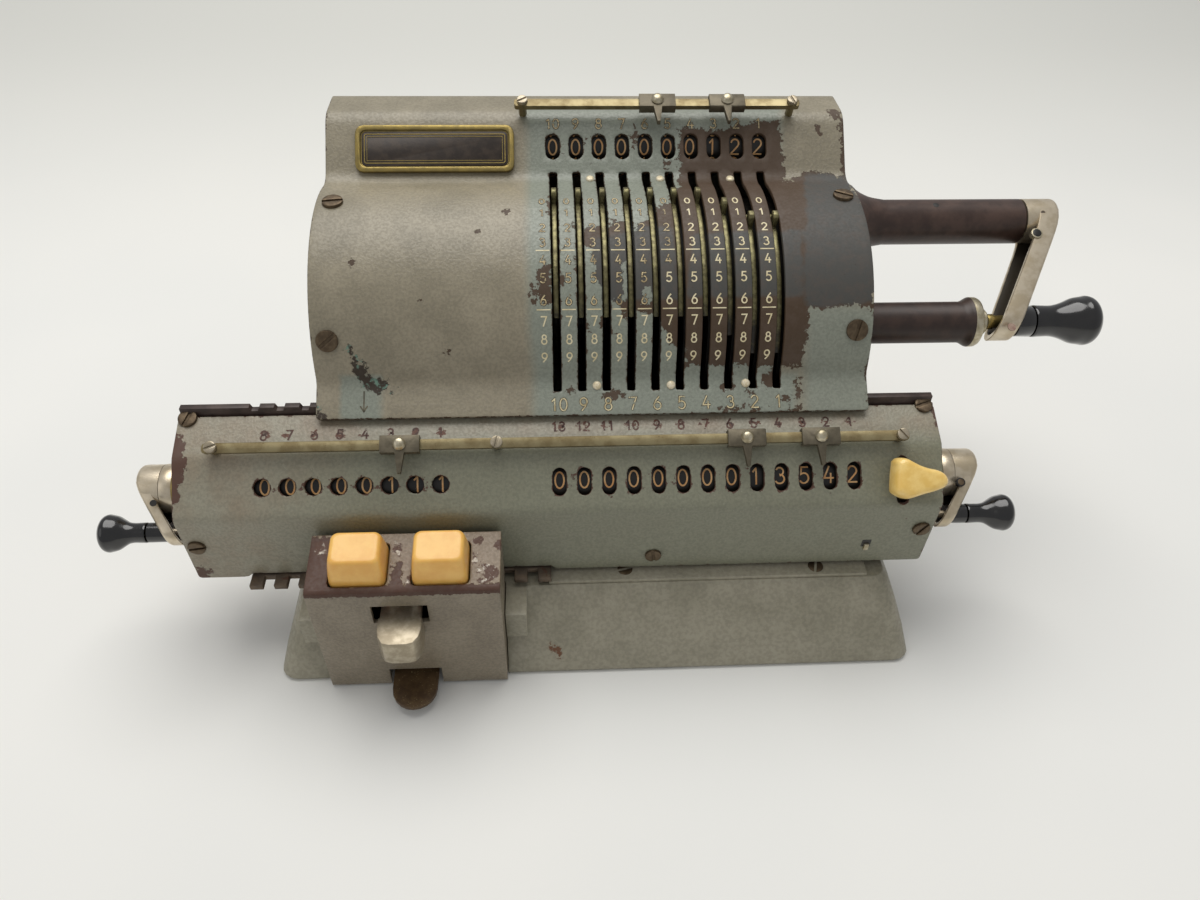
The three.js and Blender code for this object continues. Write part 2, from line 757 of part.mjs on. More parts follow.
function settingDial(column) {
  const x = columnX(column);
  const half = settingDialWidth / 2;
  return ring(settingShaftRadius + runningGap, settingDialRadius, x - half, x + half, settingY, settingZ, 12);
}

function transferGears() {
  const module = (2 * transferGearRadius) / (transferGearTeeth + 2 * toothTop);
  const radius = transferGearRadius - toothTop * module;
  let body = rod(transferShaftRadius, frameOuterLeftX + gap, frameOuterRightX - gap, transferY, transferZ, 10);
  for (let column = 0; column < columns; column += 1) {
    const middle = columnX(column) + discOffset;
    const outline = gearOutline(transferY, transferZ, transferGearTeeth, radius, module, 0);
    body = body.add(across(outline, middle - transferGearWidth / 2, middle + transferGearWidth / 2));
  }
  return body;
}

function carriageCover() {
  let body = across(sheetOutline(carriagePath, sheet), carriageLeftX, carriageRightX);
  const cut = (outline, x) => {
    body = body.subtract(plug(outline, windowFacet, x, windowUpFacet, -sheet - 1, 1));
  };
  for (let digit = 0; digit < resultDigits; digit += 1) {
    cut(roundedSlot(resultWindowWidth, resultWindowHeight, 3), resultX(digit));
  }
  for (let digit = 0; digit < counterDigits; digit += 1) {
    cut(roundedSlot(counterWindowWidth, counterWindowWidth, 4), counterX(digit));
  }
  const slot = roundedSlot(transferSlotWidth, transferSlotLength, 3);
  body = body.subtract(plug(slot, windowFacet, transferX, windowUpFacet + transferSlotOffset, -sheet - 1, 1));
  const rackLeftX = rackUnitsX - pitch * (rackTeeth - 1) - rackToothWidth / 2;
  return body.subtract(box(
    rackLeftX - gap, rackUnitsX + rackToothWidth / 2 + gap, carriageFrontY - 2, carriageFrontY + 4,
    carriageBottomZ - 1, carriageBottomZ + rackNotch,
  ));
}

// Carriage frame: floor, two end plates, a bearing wall between the registers, and the notched rail.
function carriageFrame() {
  const leftX = carriageLeftX + endPlateInset;
  const rightX = carriageRightX - endPlateInset;
  const inside = offset(carriageInside, gap);
  const endOutline = [
    [inside[0][0], floorBottomZ + 0.4],
    inside[1],
    inside[2],
    [carriageRearY - railThickness, inside[3][1]],
    [carriageRearY - railThickness, railTopZ],
    [carriageRearY, railTopZ],
    [carriageRearY, floorBottomZ + 0.4],
  ];
  const leftEnd = across(endOutline, leftX, leftX + endPlateThickness);
  const rightEnd = across(endOutline, rightX - endPlateThickness, rightX);
  const floor = box(leftX + 1, rightX - 1, floorFrontY, floorRearY, floorBottomZ, floorTopZ);
  const rail = box(leftX, rightX, carriageRearY - railThickness, carriageRearY, railTopZ - railDepth, railTopZ);
  const wallHalf = bearingWallThickness / 2;
  const wall = across(
    [
      [registerY - 9, floorTopZ - 0.5],
      [registerY + 9, floorTopZ - 0.5],
      [registerY + 7, registerZ + 4],
      [registerY + 3, registerZ + 8],
      [registerY - 3, registerZ + 8],
      [registerY - 7, registerZ + 4],
    ],
    bearingWallX - wallHalf,
    bearingWallX + wallHalf,
  );
  const boss = (fromX, toX) => rod(bossRadius, fromX, toX, registerY, registerZ);
  let body = union([
    leftEnd,
    rightEnd,
    floor,
    rail,
    wall,
    boss(carriageLeftX - bossLength, leftX + 1),
    boss(rightX - 1, carriageRightX + bossLength),
  ]);
  body = body.subtract(rod(
    registerShaftRadius + runningGap, carriageLeftX - bossLength - 1, carriageRightX + bossLength + 1, registerY, registerZ, 20,
  ));
  const notches = Math.floor((rightX - leftX - 2 * notchMargin) / pitch);
  for (let notch = 0; notch <= notches; notch += 1) {
    body = body.subtract(railNotch(leftX + notchMargin + pitch * notch));
  }
  return body;
}

function railNotch(x) {
  const half = notchWidth / 2;
  const outline = [[x - half + 1, railTopZ - notchDepth], [x + half - 1, railTopZ - notchDepth], [x + half, railTopZ + 1], [x - half, railTopZ + 1]];
  const matrix = place(vector(1, 0, 0), vector(0, 0, 1), vector(0, -1, 0), vector(0, carriageRearY + 1, 0));
  return extrude(outline, railThickness + 2, matrix);
}

// The step rack: a flat comb under the front of the carriage, with its teeth towards the operator.
function stepRack() {
  const bottomZ = floorBottomZ - rackDrop;
  const leftX = rackUnitsX - pitch * (rackTeeth - 1) - rackToothWidth / 2;
  const rightX = rackUnitsX + rackToothWidth / 2;
  let body = box(leftX, rightX, rackFrontY + rackToothLength, rackRearY, bottomZ, bottomZ + rackThickness);
  for (let tooth = 0; tooth < rackTeeth; tooth += 1) {
    const x = rackUnitsX - pitch * tooth;
    const half = rackToothWidth / 2;
    body = body.add(box(x - half, x + half, rackFrontY, rackFrontY + rackToothLength + 1, bottomZ, bottomZ + rackThickness));
  }
  return body;
}

// A stack of number drums on their shaft, whose end runs out through a boss.
function registerDials(positions, shaftFromX, shaftToX) {
  let body = rod(registerShaftRadius, shaftFromX, shaftToX, registerY, registerZ, 14);
  const half = registerDialWidth / 2;
  const first = Math.min(...positions) - half;
  const last = Math.max(...positions) + half;
  body = body.add(rod(registerDialRadius - registerGroove, first, last, registerY, registerZ, 12));
  for (const x of positions) {
    body = body.add(rod(registerDialRadius, x - half, x + half, registerY, registerZ, 12));
  }
  return body;
}

// A frame for crank arms: along is away from the shaft, side is the tangent.
function armMatrix(y, z, angle) {
  const along = vector(0, Math.cos(radians(angle)), Math.sin(radians(angle)));
  const side = vector(1, 0, 0).cross(along);
  return { along, side, at: (x, s, v) => vector(x, y + s * along.y + v * side.y, z + s * along.z + v * side.z) };
}

// Carries an outline of [x, distance from the shaft] across the arm's width.
function armSlab(frame, outline, fromSide, toSide) {
  const origin = frame.at(0, 0, fromSide);
  return extrude(outline, toSide - fromSide, place(vector(1, 0, 0), frame.along, frame.side, origin));
}

// Carries an outline of [distance from the shaft, sideways] along X.
function armPlan(frame, outline, fromX, toX) {
  return extrude(outline, toX - fromX, place(frame.along, frame.side, vector(1, 0, 0), frame.at(fromX, 0, 0)));
}

const crankFrame = armMatrix(crankY, crankZ, handleDrop);
const handleY = crankFrame.at(0, handleReach, 0).y;
const handleZ = crankFrame.at(0, handleReach, 0).z;
const hubX = tubeEndX + gap;
const hubEndX = hubX + hubLength;
const gripTipX = hubEndX + gripBeyondHub;
const stopCollarX = tubeEndX - stopTubeSetback;
const armWebX = (s) => hubEndX - Math.max(s - armBend, 0) * armLean;
const gripFromX = armWebX(handleReach - gripNeckRadius) + 2 * gap;
const locatingPinX = stopCollarX + stopCollarLength + stopBossLength + gap;

// The crank shaft with its gear inside the machine; the hub of the arm closes over its end.
function crankShaft() {
  const shaft = rod(crankShaftRadius, gearX - 1, hubEndX - hubBlind, crankY, crankZ);
  return shaft.add(driveGear(crankY, crankZ, gearTeeth, crankAngle + 180));
}

function idlerGear() {
  const gear = driveGear(idlerY, idlerZ, idlerTeeth, crankAngle + 180 / idlerTeeth);
  return gear.subtract(rod(idlerStudRadius + runningGap, gearX - 1, gearX + gearWidth + 1, idlerY, idlerZ, 16));
}

// The crank arm: a round hub and a channel that leans in towards the machine, with a boss for the handle's pin.
function crankArm() {
  const round = 2.4;
  const hub = turned(
    [
      [0, hubX],
      [tubeRadius, hubX],
      [tubeRadius, hubEndX - round],
      [tubeRadius - round * 0.3, hubEndX - round * 0.3],
      [tubeRadius - round, hubEndX],
      [0, hubEndX],
    ],
    crankY,
    crankZ,
    20,
  );
  const innerX = armWebX(armEnd) - armDepth;
  const farX = innerX - 20;
  const plan = (fromS, inset) => {
    const head = tubeRadius - inset;
    const foot = armHalfFoot - inset;
    const outline = [
      [fromS, -head],
      [hubReach, -head],
      [armEnd - 2, -foot],
      [armEnd - inset, 2 - foot],
      [armEnd - inset, foot - 2],
      [armEnd - 2, foot],
      [hubReach, head],
      [fromS, head],
    ];
    return armPlan(crankFrame, outline, farX, hubEndX + 1);
  };
  const outside = armSlab(crankFrame, [
    [hubX, 0],
    [hubEndX - round * 0.3, 0],
    [hubEndX, armBend],
    [armWebX(armEnd - 1.5), armEnd - 1.5],
    [armWebX(armEnd) - 1.5, armEnd],
    [innerX + 1, armEnd],
    [innerX, armEnd - 2],
    [armWebX(hubReach) - armDepth, hubReach],
    [hubX, hubReach - 1],
  ], -tubeRadius - 1, tubeRadius + 1).intersect(plan(0, 0));
  const hollow = armSlab(crankFrame, [
    [farX, hubReach],
    [armWebX(hubReach) - armWeb, hubReach],
    [armWebX(armEnd + 1) - armWeb, armEnd + 1],
    [farX, armEnd + 1],
  ], -tubeRadius, tubeRadius).intersect(plan(hubReach, armWall));
  const boss = rod(gripNeckRadius - 0.4, armWebX(armEnd), gripFromX - gap, handleY, handleZ, 14);
  return union([hub, outside])
    .subtract(hollow)
    .add(boss)
    .subtract(rod(crankShaftRadius + runningGap, hubX - 1, hubEndX - hubBlind, crankY, crankZ))
    .subtract(rod(locatingPinRadius + runningGap, farX, gripFromX + 1, handleY, handleZ));
}

// The locating pin slides in the arm's boss; its collar stays in the channel and its outer end carries the grip.
function locatingPin() {
  const collarX = locatingPinX + gap;
  return rod(locatingPinRadius, locatingPinX, gripFromX + gripStudLength, handleY, handleZ, 14)
    .add(rod(locatingCollarRadius, collarX, collarX + locatingCollarLength, handleY, handleZ, 14));
}

// A turned grip with a slim neck and a round end, on a stud.
function grip({ fromX, direction, length, radius, neck, studRadius, studLength, segments }, y, z) {
  const at = (share) => fromX + direction * length * share;
  const bore = studRadius + runningGap;
  const boreEnd = fromX + direction * (studLength + gap);
  const profile = [
    [bore, at(0)],
    [neck, at(0)],
    [neck * 0.94, at(0.22)],
    [neck + (radius - neck) * 0.5, at(0.36)],
    [radius * 0.94, at(0.5)],
    [radius, at(0.68)],
    [radius * 0.88, at(0.86)],
    [radius * 0.55, at(0.96)],
    [0, at(1)],
    [0, boreEnd],
    [bore, boreEnd],
    [bore, at(0)],
  ];
  return turned(direction > 0 ? profile : profile.reverse(), y, z, segments);
}

// A clearing crank: hub, channel arm and stud; direction is 1 at the right end of the carriage.
const clearFrame = armMatrix(registerY, registerZ, clearDrop);
const clearGripAxis = clearFrame.at(0, clearReach, 0);
const clearEndS = clearReach + clearFootLength;
const clearHubOut = bossLength + gap + clearHubLength;
const clearSlope = (clearHubOut - clearFootOffset) / (clearEndS - 1.5 - clearHubRadius / 2);
const clearWeb = (s) => clearHubOut - Math.max(s - clearHubRadius / 2, 0) * clearSlope;
const clearGripOut = clearWeb(clearReach - clearGripNeckRadius) + 2 * gap;

function clearingCrank(direction) {
  const endX = direction > 0 ? carriageRightX : carriageLeftX;
  const half = clearArmWidth / 2;
  const inner = half - clearArmWall;
  const wall = clearArmWall * 1.2;
  const slab = (outline, fromSide, toSide) => {
    const points = outline.map(([out, s]) => [endX + direction * out, s]);
    return armSlab(clearFrame, direction > 0 ? points : points.reverse(), fromSide, toSide);
  };
  const channel = slab([
    [clearHubOut - clearArmDepth, 0],
    [clearHubOut, 0],
    [clearHubOut, clearHubRadius / 2],
    [clearFootOffset, clearEndS - 1.5],
    [clearFootOffset - 1.5, clearEndS],
    [1.2, clearEndS],
    [1.2, clearEndS - 4],
    [clearHubOut - clearArmDepth, bossRadius + 0.6],
  ], -half, half);
  const hollow = slab([
    [-10, -1],
    [clearHubOut - wall, -1],
    [clearHubOut - wall, clearHubRadius / 2],
    [clearWeb(clearEndS + 1) - wall, clearEndS + 1],
    [-10, clearEndS + 1],
  ], -inner, inner);
  const along = (radius, from, to, y, z, segments) => {
    const ends = [endX + direction * from, endX + direction * to].sort((a, b) => a - b);
    return rod(radius, ends[0], ends[1], y, z, segments);
  };
  const { y, z } = clearGripAxis;
  return union([
    channel.subtract(hollow),
    along(clearHubRadius, bossLength + gap, clearHubOut, registerY, registerZ, 18),
    along(clearGripNeckRadius, clearFootOffset - 0.6, clearGripOut - gap, y, z, 12),
    along(clearStudRadius, clearFootOffset, clearGripOut + clearStudLength, y, z, 8),
  ]);
}

// Markers: a cap that rides on its bar, with a pointer down towards the windows.
function marker(face, standOff, x) {
  const out = standOff + barHeight;
  const half = markerWidth / 2;
  const inner = barWidth / 2 + gap;
  const cap = plug(
    [[-half, -inner - markerWall], [half, -inner - markerWall], [half, inner + markerWall], [-half, inner + markerWall]],
    face, x, 0, out - barHeight - gap, out + gap + markerWall,
  );
  const tunnel = plug(
    [[-half - 1, -inner], [half + 1, -inner], [half + 1, inner], [-half - 1, inner]],
    face, x, 0, out - barHeight - gap - 1, out + gap,
  );
  const pointer = plug(
    [[-pointerWidth / 2, -inner], [-0.5, -inner - pointerLength], [0.5, -inner - pointerLength], [pointerWidth / 2, -inner]].reverse(),
    face, x, 0, out - barHeight * 0.4, out + gap + markerWall,
  );
  const knob = plug(roundedRectangle(-1.3, 1.3, -1.3, 1.3, 1.2, 2), face, x, 0, out + gap, out + gap + markerWall + 1.3);
  return union([cap.subtract(tunnel), pointer.subtract(tunnel), knob]);
}

function markerBar(face, standOff, fromX, toX, posts) {
  const half = barWidth / 2;
  const top = standOff + barHeight;
  let body = plug(roundedRectangle(fromX, toX, -half, half, half * 0.6, 2), face, 0, 0, standOff, top);
  for (const x of posts) {
    const circle = (radius) => arc(0, 0, radius, 0, 315, 7);
    body = body.add(plug(circle(postRadius), face, x, 0, 2 * gap, standOff + 0.5));
    body = body.add(plug(circle(postHeadRadius), face, x, 0, top - 0.5, top + 1));
  }
  return body;
}
const topBarFace = slopingFace(topArcY - topRound * Math.sin(radians(panelSlope / 2)),
  coverTopZ - topRound * (1 - Math.cos(radians(panelSlope / 2))), panelSlope / 2);
const barSpot = topFacet.at(0, carriageBarUp, 0);
const carriageBarFace = slopingFace(barSpot.y, barSpot.z, (windowFacetSlope + topFacetSlope) / 2);

// Key box: an open-backed box with a sloping top, two key holes and two lever slots.
const keyBoxBackY = keyBoxFrontY + keyBoxDepth;
const keyFace = slopingFace(keyBoxFrontY, keyBoxFrontHeight, keyBoxSlope);
function keyBox() {
  const backZ = keyBoxFrontHeight + keyBoxDepth * Math.tan(radians(keyBoxSlope));
  const outer = [
    [keyBoxFrontY, keyBoxBottomZ],
    [keyBoxBackY, keyBoxBottomZ],
    [keyBoxBackY, backZ],
    [keyBoxFrontY + 1.2, keyBoxFrontHeight + 0.2],
    [keyBoxFrontY + 0.3, keyBoxFrontHeight - 0.4],
    [keyBoxFrontY, keyBoxFrontHeight - 1.4],
  ];
  const inner = [
    [keyBoxFrontY + keyBoxWall, keyBoxBottomZ - 1],
    [keyBoxBackY + 1, keyBoxBottomZ - 1],
    [keyBoxBackY + 1, backZ - keyBoxWall],
    [keyBoxFrontY + keyBoxWall, keyBoxFrontHeight - keyBoxWall],
  ];
  let body = across(outer, keyBoxLeftX, keyBoxRightX);
  body = body.subtract(across(inner, keyBoxLeftX + keyBoxWall, keyBoxRightX - keyBoxWall));
  const halfWidth = keyWidth / 2 + keyClearance;
  const halfDepth = keyDepth / 2 + keyClearance;
  for (const x of [keyLeftX, keyRightX]) {
    const hole = roundedRectangle(-halfWidth, halfWidth, -halfDepth, halfDepth, 1.5, 2);
    body = body.subtract(plug(hole, keyFace, x, keyFromFront, -keyBoxWall - 2, 2));
  }
  body = body.subtract(box(
    keyBoxLeftX - 1, keyBoxRightX + 1, rackFrontY - 1.2, keyBoxBackY + 1,
    floorBottomZ - rackDrop - 1, floorBottomZ + rackThickness + 0.6,
  ));
  const slot = (x, width, z0, z1) => box(x - width / 2, x + width / 2, keyBoxFrontY - 1, keyBoxFrontY + keyBoxWall + 1, z0, z1);
  body = body.subtract(slot(releaseX, releaseSlotWidth, releaseSlotBottomZ, releaseSlotTopZ));
  return body.subtract(slot(tongueX, tongueSlotWidth, keyBoxBottomZ - 1, tongueSlotTopZ));
}

function shiftKey(x) {
  const level = (width, depth, back, corner, out) => roundedRectangle(-width / 2, width / 2, back - depth / 2, back + depth / 2, corner, 2)
    .map(([across_, up]) => {
      const p = keyFace.at(x + across_, keyFromFront + up, out);
      return [p.x, p.y, p.z];
    });
  const cap = loft([
    level(keyWidth, keyDepth, 0, 1.4, -keySkirt),
    level(keyWidth, keyDepth, 0, 1.4, 0),
    level(keyTopWidth, keyTopDepth, keyTopBack, 1.6, keyHeight - keyRound),
    level(keyTopWidth - keyRound, keyTopDepth - keyRound, keyTopBack, 1.6, keyHeight - keyRound * 0.3),
    level(keyTopWidth - 2.4 * keyRound, keyTopDepth - 2.4 * keyRound, keyTopBack, 1.6, keyHeight),
  ]);
  const half = [keyStemWidth / 2, keyStemDepth / 2];
  const stem = plug([[-half[0], -half[1]], [half[0], -half[1]], [half[0], half[1]], [-half[0], half[1]]],
    keyFace, x, keyFromFront, -keySkirt - keyStemLength, -keySkirt + 1);
  return cap.add(stem);
}

// Release thumb piece: a plate through the upper slot with a half-round cap in front, on a cross shaft.
const releasePivotY = keyBoxFrontY + releasePivotDepth;
const releasePivotZ = releaseTopZ - releasePlate / 2;
function releasePiece() {
  const half = releaseWidth / 2;
  const frontY = keyBoxFrontY - releaseProud;
  const backY = keyBoxFrontY - 0.8;
  const nose = arc(releaseX, frontY + half * 0.8, half, 180, 360, 8).map(([x, y]) => [x, Math.max(y, frontY)]);
  const cap = upright([[releaseX - half, backY], ...nose, [releaseX + half, backY]], releaseTopZ - releaseSkirt, releaseTopZ);
  const plate = box(releaseX - half + 0.4, releaseX + half - 0.4, backY - 2, releasePivotY, releaseTopZ - releasePlate, releaseTopZ);
  return union([cap, plate, pivotShaft(releasePivotY, releasePivotZ)]);
}

function pivotShaft(y, z) {
  return rod(trunnionRadius, keyBoxLeftX + keyBoxWall + gap, keyBoxRightX - keyBoxWall - gap, y, z, 10);
}

const tonguePivotY = keyBoxFrontY + releasePivotDepth;
const tonguePivotZ = tongueZ + tongueThickness / 2;
function releaseTongue() {
  const half = tongueWidth / 2;
  const frontY = keyBoxFrontY - tongueProud;
  const nose = arc(tongueX, frontY + half, half, 180, 360, 10);
  const plate = upright([[tongueX - half, tonguePivotY], ...nose, [tongueX + half, tonguePivotY]], tongueZ, tongueZ + tongueThickness);
  return plate.add(pivotShaft(tonguePivotY, tonguePivotZ));
}

// Transfer lever: a ring round the register shaft, an arm out through its slot, and a pointed knob.
function transferLever() {
  const half = transferThickness / 2;
  const hub = ring(
    registerShaftRadius + runningGap, registerShaftRadius + 3.4, transferX - half, transferX + half, registerY, registerZ, 14,
  );
  const faceOut = sheet + dialRoom + registerDialRadius;
  const spot = (x, out, up) => windowFacet.at(x, windowUpFacet + up, out - faceOut);
  const from = spot(transferX - half, registerShaftRadius + 1.6, 0);
  const to = spot(transferX - half, faceOut + transferStandOff + 1.5, transferRest * 1.25);
  const along = to.clone().sub(from).normalize();
  const length = to.distanceTo(from);
  const armHalf = 1.8;
  const arm = extrude(
    [[0, -armHalf], [length, -armHalf], [length, armHalf], [0, armHalf]],
    transferThickness,
    place(along, vector(1, 0, 0).cross(along), vector(1, 0, 0), from),
  );
  const left = transferX - 2;
  const right = left + transferKnobLength;
  const level = (out, trim, low, high, tipLow, tipHigh) => [
    [left + trim, low],
    [left + transferKnobLength * 0.4, low + trim * 0.4],
    [right - trim, tipLow],
    [right - trim, tipHigh],
    [left + transferKnobLength * 0.35, high - trim * 0.4],
    [left + trim, high],
  ].map(([x, up]) => spot(x, faceOut + transferStandOff + out, up).toArray());
  const knob = loft([
    level(0, 1, -6, 4.4, -2, 1.4),
    level(transferKnobProud * 0.5, 0, -7, 5.4, -2.6, 2),
    level(transferKnobProud, 2, -5, 3.4, -1.6, 1),
  ]);
  return union([hub, arm, knob]);
}

function bell() {
  const topZ = baseHeight + bellPostHeight;
  const wall = 1.6;
  const profile = [[0, baseHeight], [bellPostRadius, baseHeight], [bellPostRadius, topZ - wall - 0.2]];
  const dome = (radius, drop, steps) => Array.from({ length: steps + 1 }, (_, i) => {
    const angle = radians(12 + (78 * i) / steps);
    return [radius * Math.sin(angle), topZ - drop - radius * 0.7 * (1 - Math.cos(angle))];
  });
  const points = [...profile, ...dome(bellRadius - wall, wall, 4), ...dome(bellRadius, 0, 4).reverse(), [0, topZ]];
  const geometry = new THREE.LatheGeometry(points.map(([r, z]) => new THREE.Vector2(r, z)), 14);
  return solid(geometry.rotateX(Math.PI / 2).translate(bellX, bellY, 0));
}

// Fixed pieces
add("base_casting", baseCasting(), "baseGrey");
add("bottom_plate", bottomPlate(), "dark");
add("side_frame_left", sideFrame(frameOuterLeftX, frameInnerLeftX, false), "grey");
add("side_frame_right", sideFrame(frameInnerRightX, frameOuterRightX, true), "grey");
add("pinwheel_cover", pinwheelCover(), "grey");
add("rear_cover", across(sheetOutline(rearCoverPath, sheet), coverLeftX, coverRightX), "grey");
add("nameplate", nameplate(), "brass");
add("register_marker_bar", markerBar(topBarFace, topBarStandOff, topBarLeftX, topBarRightX, topBarPosts), "nickel");
add("key_box", keyBox(), "boxGrey");
add("carriage_guide_rail", guideRail(), "baseGrey");
const tubeBore = crankShaftRadius + runningGap;
add("crank_bearing_tube", turned(
  [
    [tubeBore, frameOuterRightX],
    [tubeSeatRadius, frameOuterRightX],
    [tubeSeatRadius, coverRightX + gap],
    [tubeFlareRadius, coverRightX + gap],
    [tubeFlareRadius - 1.4, coverRightX + gap + 2],
    [tubeRadius + 1.4, coverRightX + tubeFlareLength - 3],
    [tubeRadius, coverRightX + tubeFlareLength],
    [tubeRadius, tubeEndX],
    [tubeBore, tubeEndX],
    [tubeBore, frameOuterRightX],
  ],
  crankY, crankZ, 18,
), "brown");
add("crank_stop_tube", turned(
  [
    [0, frameOuterRightX],
    [stopTubeRadius, frameOuterRightX],
    [stopTubeRadius, stopCollarX],
    [stopCollarRadius, stopCollarX],
    [stopCollarRadius, stopCollarX + stopCollarLength],
    [stopBossRadius, stopCollarX + stopCollarLength],
    [stopBossRadius, stopCollarX + stopCollarLength + stopBossLength],
    [0, stopCollarX + stopCollarLength + stopBossLength],
  ],
  handleY, handleZ, 16,
), "brown");
add("overflow_bell", bell(), "brass");

// Markers on the setting register
topMarkers.forEach((x, i) => add(`register_marker_${i + 1}`, marker(topBarFace, topBarStandOff, x), "nickel"));

// Keys and release levers
add("shift_key_left", shiftKey(keyLeftX), "cream");
add("shift_key_right", shiftKey(keyRightX), "cream");
add("release_thumb_piece", releasePiece(), "nickel");
add("release_tongue", releaseTongue(), "rust");

// Crank
const crank = new THREE.Group();
calculator.add(crank);
add("crank_shaft", crankShaft(), "nickel", crank);
add("crank_idler_gear", idlerGear(), "steel", crank);
add("crank_arm", crankArm(), "nickel", crank);
add("crank_locating_pin", locatingPin(), "steel", crank);
add("crank_grip", grip({
  fromX: gripFromX,
  direction: 1,
  length: gripTipX - gripFromX,
  radius: gripRadius,
  neck: gripNeckRadius,
  studRadius: locatingPinRadius,
  studLength: gripStudLength,
  segments: 16,
}, handleY, handleZ), "black", crank);

// Rotor with its setting levers, and the dials that show the setting
const wheels = new THREE.Group();
calculator.add(wheels);
add("pinwheel_rotor", rotor(), "dark", wheels);
for (let column = 0; column < columns; column += 1) {
  add(`setting_lever_${column + 1}`, settingLever(column), "brass", wheels);
  add(`setting_dial_${column + 1}`, settingDial(column), "dial", wheels);
}
add("transfer_gears", transferGears(), "steel", wheels);

// Carriage
const carriage = new THREE.Group();
calculator.add(carriage);
add("carriage_frame", carriageFrame(), "brown", carriage);
add("carriage_cover", carriageCover(), "grey", carriage);
add("carriage_marker_bar", markerBar(
  carriageBarFace, carriageBarStandOff, carriageBarLeftX, carriageBarRightX, carriageBarPosts,
), "nickel", carriage);
add("step_rack", stepRack(), "rust", carriage);
carriageMarkers.forEach((x, i) => {
  add(`carriage_marker_${i + 1}`, marker(carriageBarFace, carriageBarStandOff, x), "nickel", carriage);
});
add("transfer_lever", transferLever(), "cream", carriage);
const digitsOf = (count, at) => Array.from({ length: count }, (_, digit) => at(digit));
add("result_dials", registerDials(
  digitsOf(resultDigits, resultX), bearingWallX + gap, carriageRightX + bossLength,
), "dial", carriage);
add("counter_dials", registerDials(
  digitsOf(counterDigits, counterX), carriageLeftX - bossLength, bearingWallX - gap,
), "dial", carriage);
for (const [name, direction] of [["left", -1], ["right", 1]]) {
  const endX = direction > 0 ? carriageRightX : carriageLeftX;
  add(`clearing_crank_${name}`, clearingCrank(direction), "nickel", carriage);
  add(`clearing_grip_${name}`, grip({
    fromX: endX + direction * clearGripOut,
    direction,
    length: clearGripTip - clearGripOut,
    radius: clearGripRadius,
    neck: clearGripNeckRadius,
    studRadius: clearStudRadius,
    studLength: clearStudLength,
    segments: 12,
  }, clearGripAxis.y, clearGripAxis.z), "black", carriage);
}

export default calculator;
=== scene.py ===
import json
import math

import bmesh
import bpy
import numpy as np
from mathutils import Matrix, Vector
from mathutils.geometry import delaunay_2d_cdt


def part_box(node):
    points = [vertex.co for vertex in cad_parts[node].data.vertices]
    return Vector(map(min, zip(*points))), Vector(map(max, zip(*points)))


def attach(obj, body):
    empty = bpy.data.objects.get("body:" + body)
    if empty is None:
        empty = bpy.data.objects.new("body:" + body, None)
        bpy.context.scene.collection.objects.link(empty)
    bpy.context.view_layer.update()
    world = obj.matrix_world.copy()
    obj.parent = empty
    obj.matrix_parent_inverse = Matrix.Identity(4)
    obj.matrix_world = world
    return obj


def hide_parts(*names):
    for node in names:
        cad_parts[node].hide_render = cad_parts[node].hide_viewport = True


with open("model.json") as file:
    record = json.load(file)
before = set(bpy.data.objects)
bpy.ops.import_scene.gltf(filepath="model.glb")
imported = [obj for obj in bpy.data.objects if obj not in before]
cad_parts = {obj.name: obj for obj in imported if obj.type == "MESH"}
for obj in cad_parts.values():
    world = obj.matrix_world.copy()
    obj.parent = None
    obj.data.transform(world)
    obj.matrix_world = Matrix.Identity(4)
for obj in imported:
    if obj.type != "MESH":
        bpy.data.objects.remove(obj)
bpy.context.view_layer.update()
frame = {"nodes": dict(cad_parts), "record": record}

MM = 0.001
nodes = frame["nodes"]
bodies = frame["record"]["behaviour"]["bodies"]
body_of = {node: body for body, names in bodies.items() for node in names}

# The photograph's camera: focal length in pixels of a 1200 x 900 frame, place in mm, angles in degrees
FRAME_WIDTH = 1200
FRAME_HEIGHT = 900
FOCAL = 913.0
CAMERA_AT = np.array([-14.2, -240.3, 261.5])
PITCH, YAW, ROLL = 44.0, -4.07, 1.70


def camera_axes():
    """right, up and forward of the camera: pitched down, turned about Z, then rolled."""
    p, y, r = map(math.radians, (PITCH, YAW, ROLL))
    turn = np.array([[math.cos(y), -math.sin(y), 0], [math.sin(y), math.cos(y), 0], [0, 0, 1]])
    forward = turn @ np.array([0, math.cos(p), -math.sin(p)])
    right = turn @ np.array([1.0, 0, 0])
    up = turn @ np.array([0, math.sin(p), math.cos(p)])
    return math.cos(r) * right + math.sin(r) * up, math.cos(r) * up - math.sin(r) * right, forward


RIGHT, UP, FORWARD = camera_axes()


def photo(points):
    """Where points in mm fall in the photograph's frame: x = middle + f (d.right) / (d.forward),
    y = middle - f (d.up) / (d.forward), with d from the camera to the point."""
    d = np.asarray(points, float) - CAMERA_AT
    depth = d @ FORWARD
    return FRAME_WIDTH / 2 + FOCAL * (d @ RIGHT) / depth, FRAME_HEIGHT / 2 - FOCAL * (d @ UP) / depth


def inside(polygon, px, py):
    """Signed distance to a polygon in pixels, positive inside."""
    loop = np.asarray(polygon, float)
    best = np.full(px.shape, 1e9)
    within = np.zeros(px.shape, bool)
    for (x0, y0), (x1, y1) in zip(loop, np.roll(loop, -1, 0)):
        ex, ey = x1 - x0, y1 - y0
        k = np.clip(((px - x0) * ex + (py - y0) * ey) / (ex * ex + ey * ey), 0, 1)
        best = np.minimum(best, np.hypot(px - x0 - k * ex, py - y0 - k * ey))
        crosses = ((y0 > py) != (y1 > py)) & (px < ex * (py - y0) / (ey if ey else 1e-9) + x0)
        within ^= crosses
    return np.where(within, best, -best)


